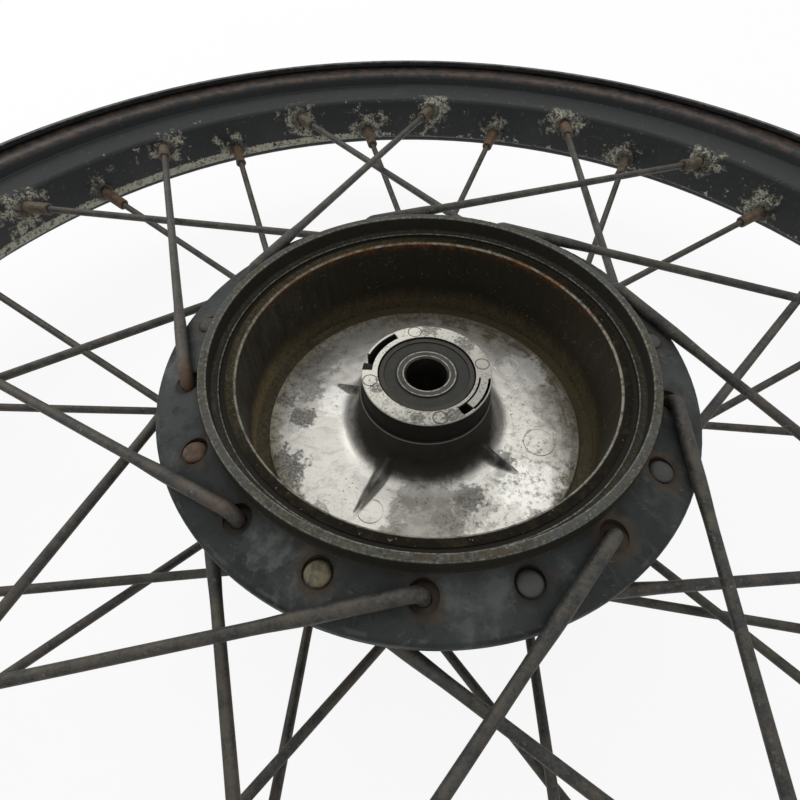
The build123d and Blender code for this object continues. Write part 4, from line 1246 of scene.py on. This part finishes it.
class WHEEL_OT_nipples(bpy.types.Operator):
    """Turn the nipples with their flats, round necks and heads"""

    bl_idname = "wheel.nipples"
    bl_label = "Nipples"

    def execute(self, context):
        sizes = in_millimetres(context.scene.wheel_sizes)
        tree = repeat_tree()
        finish = nipple_finish(context.scene.wheel_colours)
        for row, families in (("near", lacing(sizes)[:2]), ("far", lacing(sizes)[2:])):
            shape = bmesh.new()
            for _family, *place in families:
                add_nipple(shape, sizes, place)
            source = put("pair_" + row, as_mesh("pair_" + row, shape, 32))
            inputs = {"Count": sizes.per_family, "Step": math.tau / sizes.per_family, "Finish": finish}
            piece = grow(source, tree, "nipple_row_" + row, **inputs)
            settle(piece, "nipple_steel", WHEEL, f"nipples_{row}_row")
        return {"FINISHED"}


class WHEEL_OT_rim(bpy.types.Operator):
    """Finish the rim in flaked dark paint"""

    bl_idname = "wheel.rim"
    bl_label = "Rim"

    def execute(self, context):
        smooth_copy("hoop", "rim", "rim_paint", WHEEL, rim_finish(context.scene.wheel_colours))
        return {"FINISHED"}


def white_floor(tints):
    """A wide level floor under the lowest point of the wheel."""
    mesh = bpy.data.meshes.new("floor")
    low = CAD_BOX[0][2]
    side = FLOOR_REACH
    corners = [(-side, -side, low), (side, -side, low), (side, side, low), (-side, side, low)]
    mesh.from_pydata(corners, [], [(0, 1, 2, 3)])
    mesh.materials.append(floor_finish(tints))
    put("floor", mesh)


def soft_lamps():
    """Large round lamps that look at the middle of the wheel."""
    for name, place, width, power in LAMPS:
        lamp = bpy.data.lights.new(name, "AREA")
        lamp.shape = "DISK"
        lamp.size = width
        lamp.energy = power
        holder = put(name, lamp)
        holder.location = place
        holder.rotation_euler = (-Vector(place)).to_track_quat("-Z", "Y").to_euler()


def white_surroundings():
    """A white world, somewhat dimmer as a light than where it is seen or mirrored."""
    world = bpy.data.worlds.new("studio")
    world.use_nodes = True
    sky = Graph(world.node_tree)
    direct, glossy, through = (sky.node("ShaderNodeLightPath", output=n) for n in (0, 3, 6))
    strength = SKY_LIGHT + direct.max(glossy).max(through) * (1 - SKY_LIGHT)
    white = sky.node("ShaderNodeBackground", {"Color": (1.0, 1.0, 1.0, 1.0), "Strength": strength})
    sky.node("ShaderNodeOutputWorld", {"Surface": white})
    return world


def close_camera():
    """A wide-angle camera near the hub, looking down across it."""
    optics = bpy.data.cameras.new("camera")
    optics.lens = CAMERA_LENS
    optics.sensor_width = 36.0
    optics.clip_start = 0.01
    camera = put("camera", optics)
    camera.location = CAMERA_PLACE
    pan = Matrix.Rotation(math.radians(CAMERA_PAN), 3, "Z")
    dip = Matrix.Rotation(math.radians(90 - CAMERA_DIP), 3, "X")
    roll = Matrix.Rotation(math.radians(CAMERA_ROLL), 3, "Z")
    camera.rotation_euler = (pan @ dip @ roll).to_euler()
    return camera


class WHEEL_OT_stage(bpy.types.Operator):
    """Set up the floor, the soft lamps and the camera"""

    bl_idname = "wheel.stage"
    bl_label = "Stage"

    def execute(self, context):
        scene = context.scene
        white_floor(scene.wheel_colours)
        soft_lamps()
        scene.world = white_surroundings()
        scene.view_settings.view_transform = "Standard"
        scene.camera = close_camera()
        return {"FINISHED"}


class WHEEL_PT_panel(bpy.types.Panel):
    """Lists the wheel's pieces and sizes"""

    bl_label = "Spoked Wheel"
    bl_idname = "WHEEL_PT_panel"
    bl_space_type = "VIEW_3D"
    bl_region_type = "UI"
    bl_category = "Wheel"

    def draw(self, context):
        layout = self.layout
        for operator in OPERATORS:
            layout.operator(operator.bl_idname)
        for group in (context.scene.wheel_sizes, context.scene.wheel_colours):
            box = layout.box()
            for name in group.__annotations__:
                box.prop(group, name)


OPERATORS = (
    WHEEL_OT_hub, WHEEL_OT_bearings, WHEEL_OT_spokes, WHEEL_OT_nipples, WHEEL_OT_rim, WHEEL_OT_stage,
)
CLASSES = (WheelSizes, WheelColours, *OPERATORS, WHEEL_PT_panel)


def register():
    for made in CLASSES:
        bpy.utils.register_class(made)
    bpy.types.Scene.wheel_sizes = PointerProperty(type=WheelSizes)
    bpy.types.Scene.wheel_colours = PointerProperty(type=WheelColours)


def unregister():
    del bpy.types.Scene.wheel_colours
    del bpy.types.Scene.wheel_sizes
    for made in reversed(CLASSES):
        bpy.utils.unregister_class(made)


def main():
    register()
    bpy.ops.wheel.hub()
    bpy.ops.wheel.bearings()
    bpy.ops.wheel.spokes()
    bpy.ops.wheel.nipples()
    bpy.ops.wheel.rim()
    bpy.ops.wheel.stage()
    bpy.context.view_layer.update()


if __name__ == "__main__":
    main()
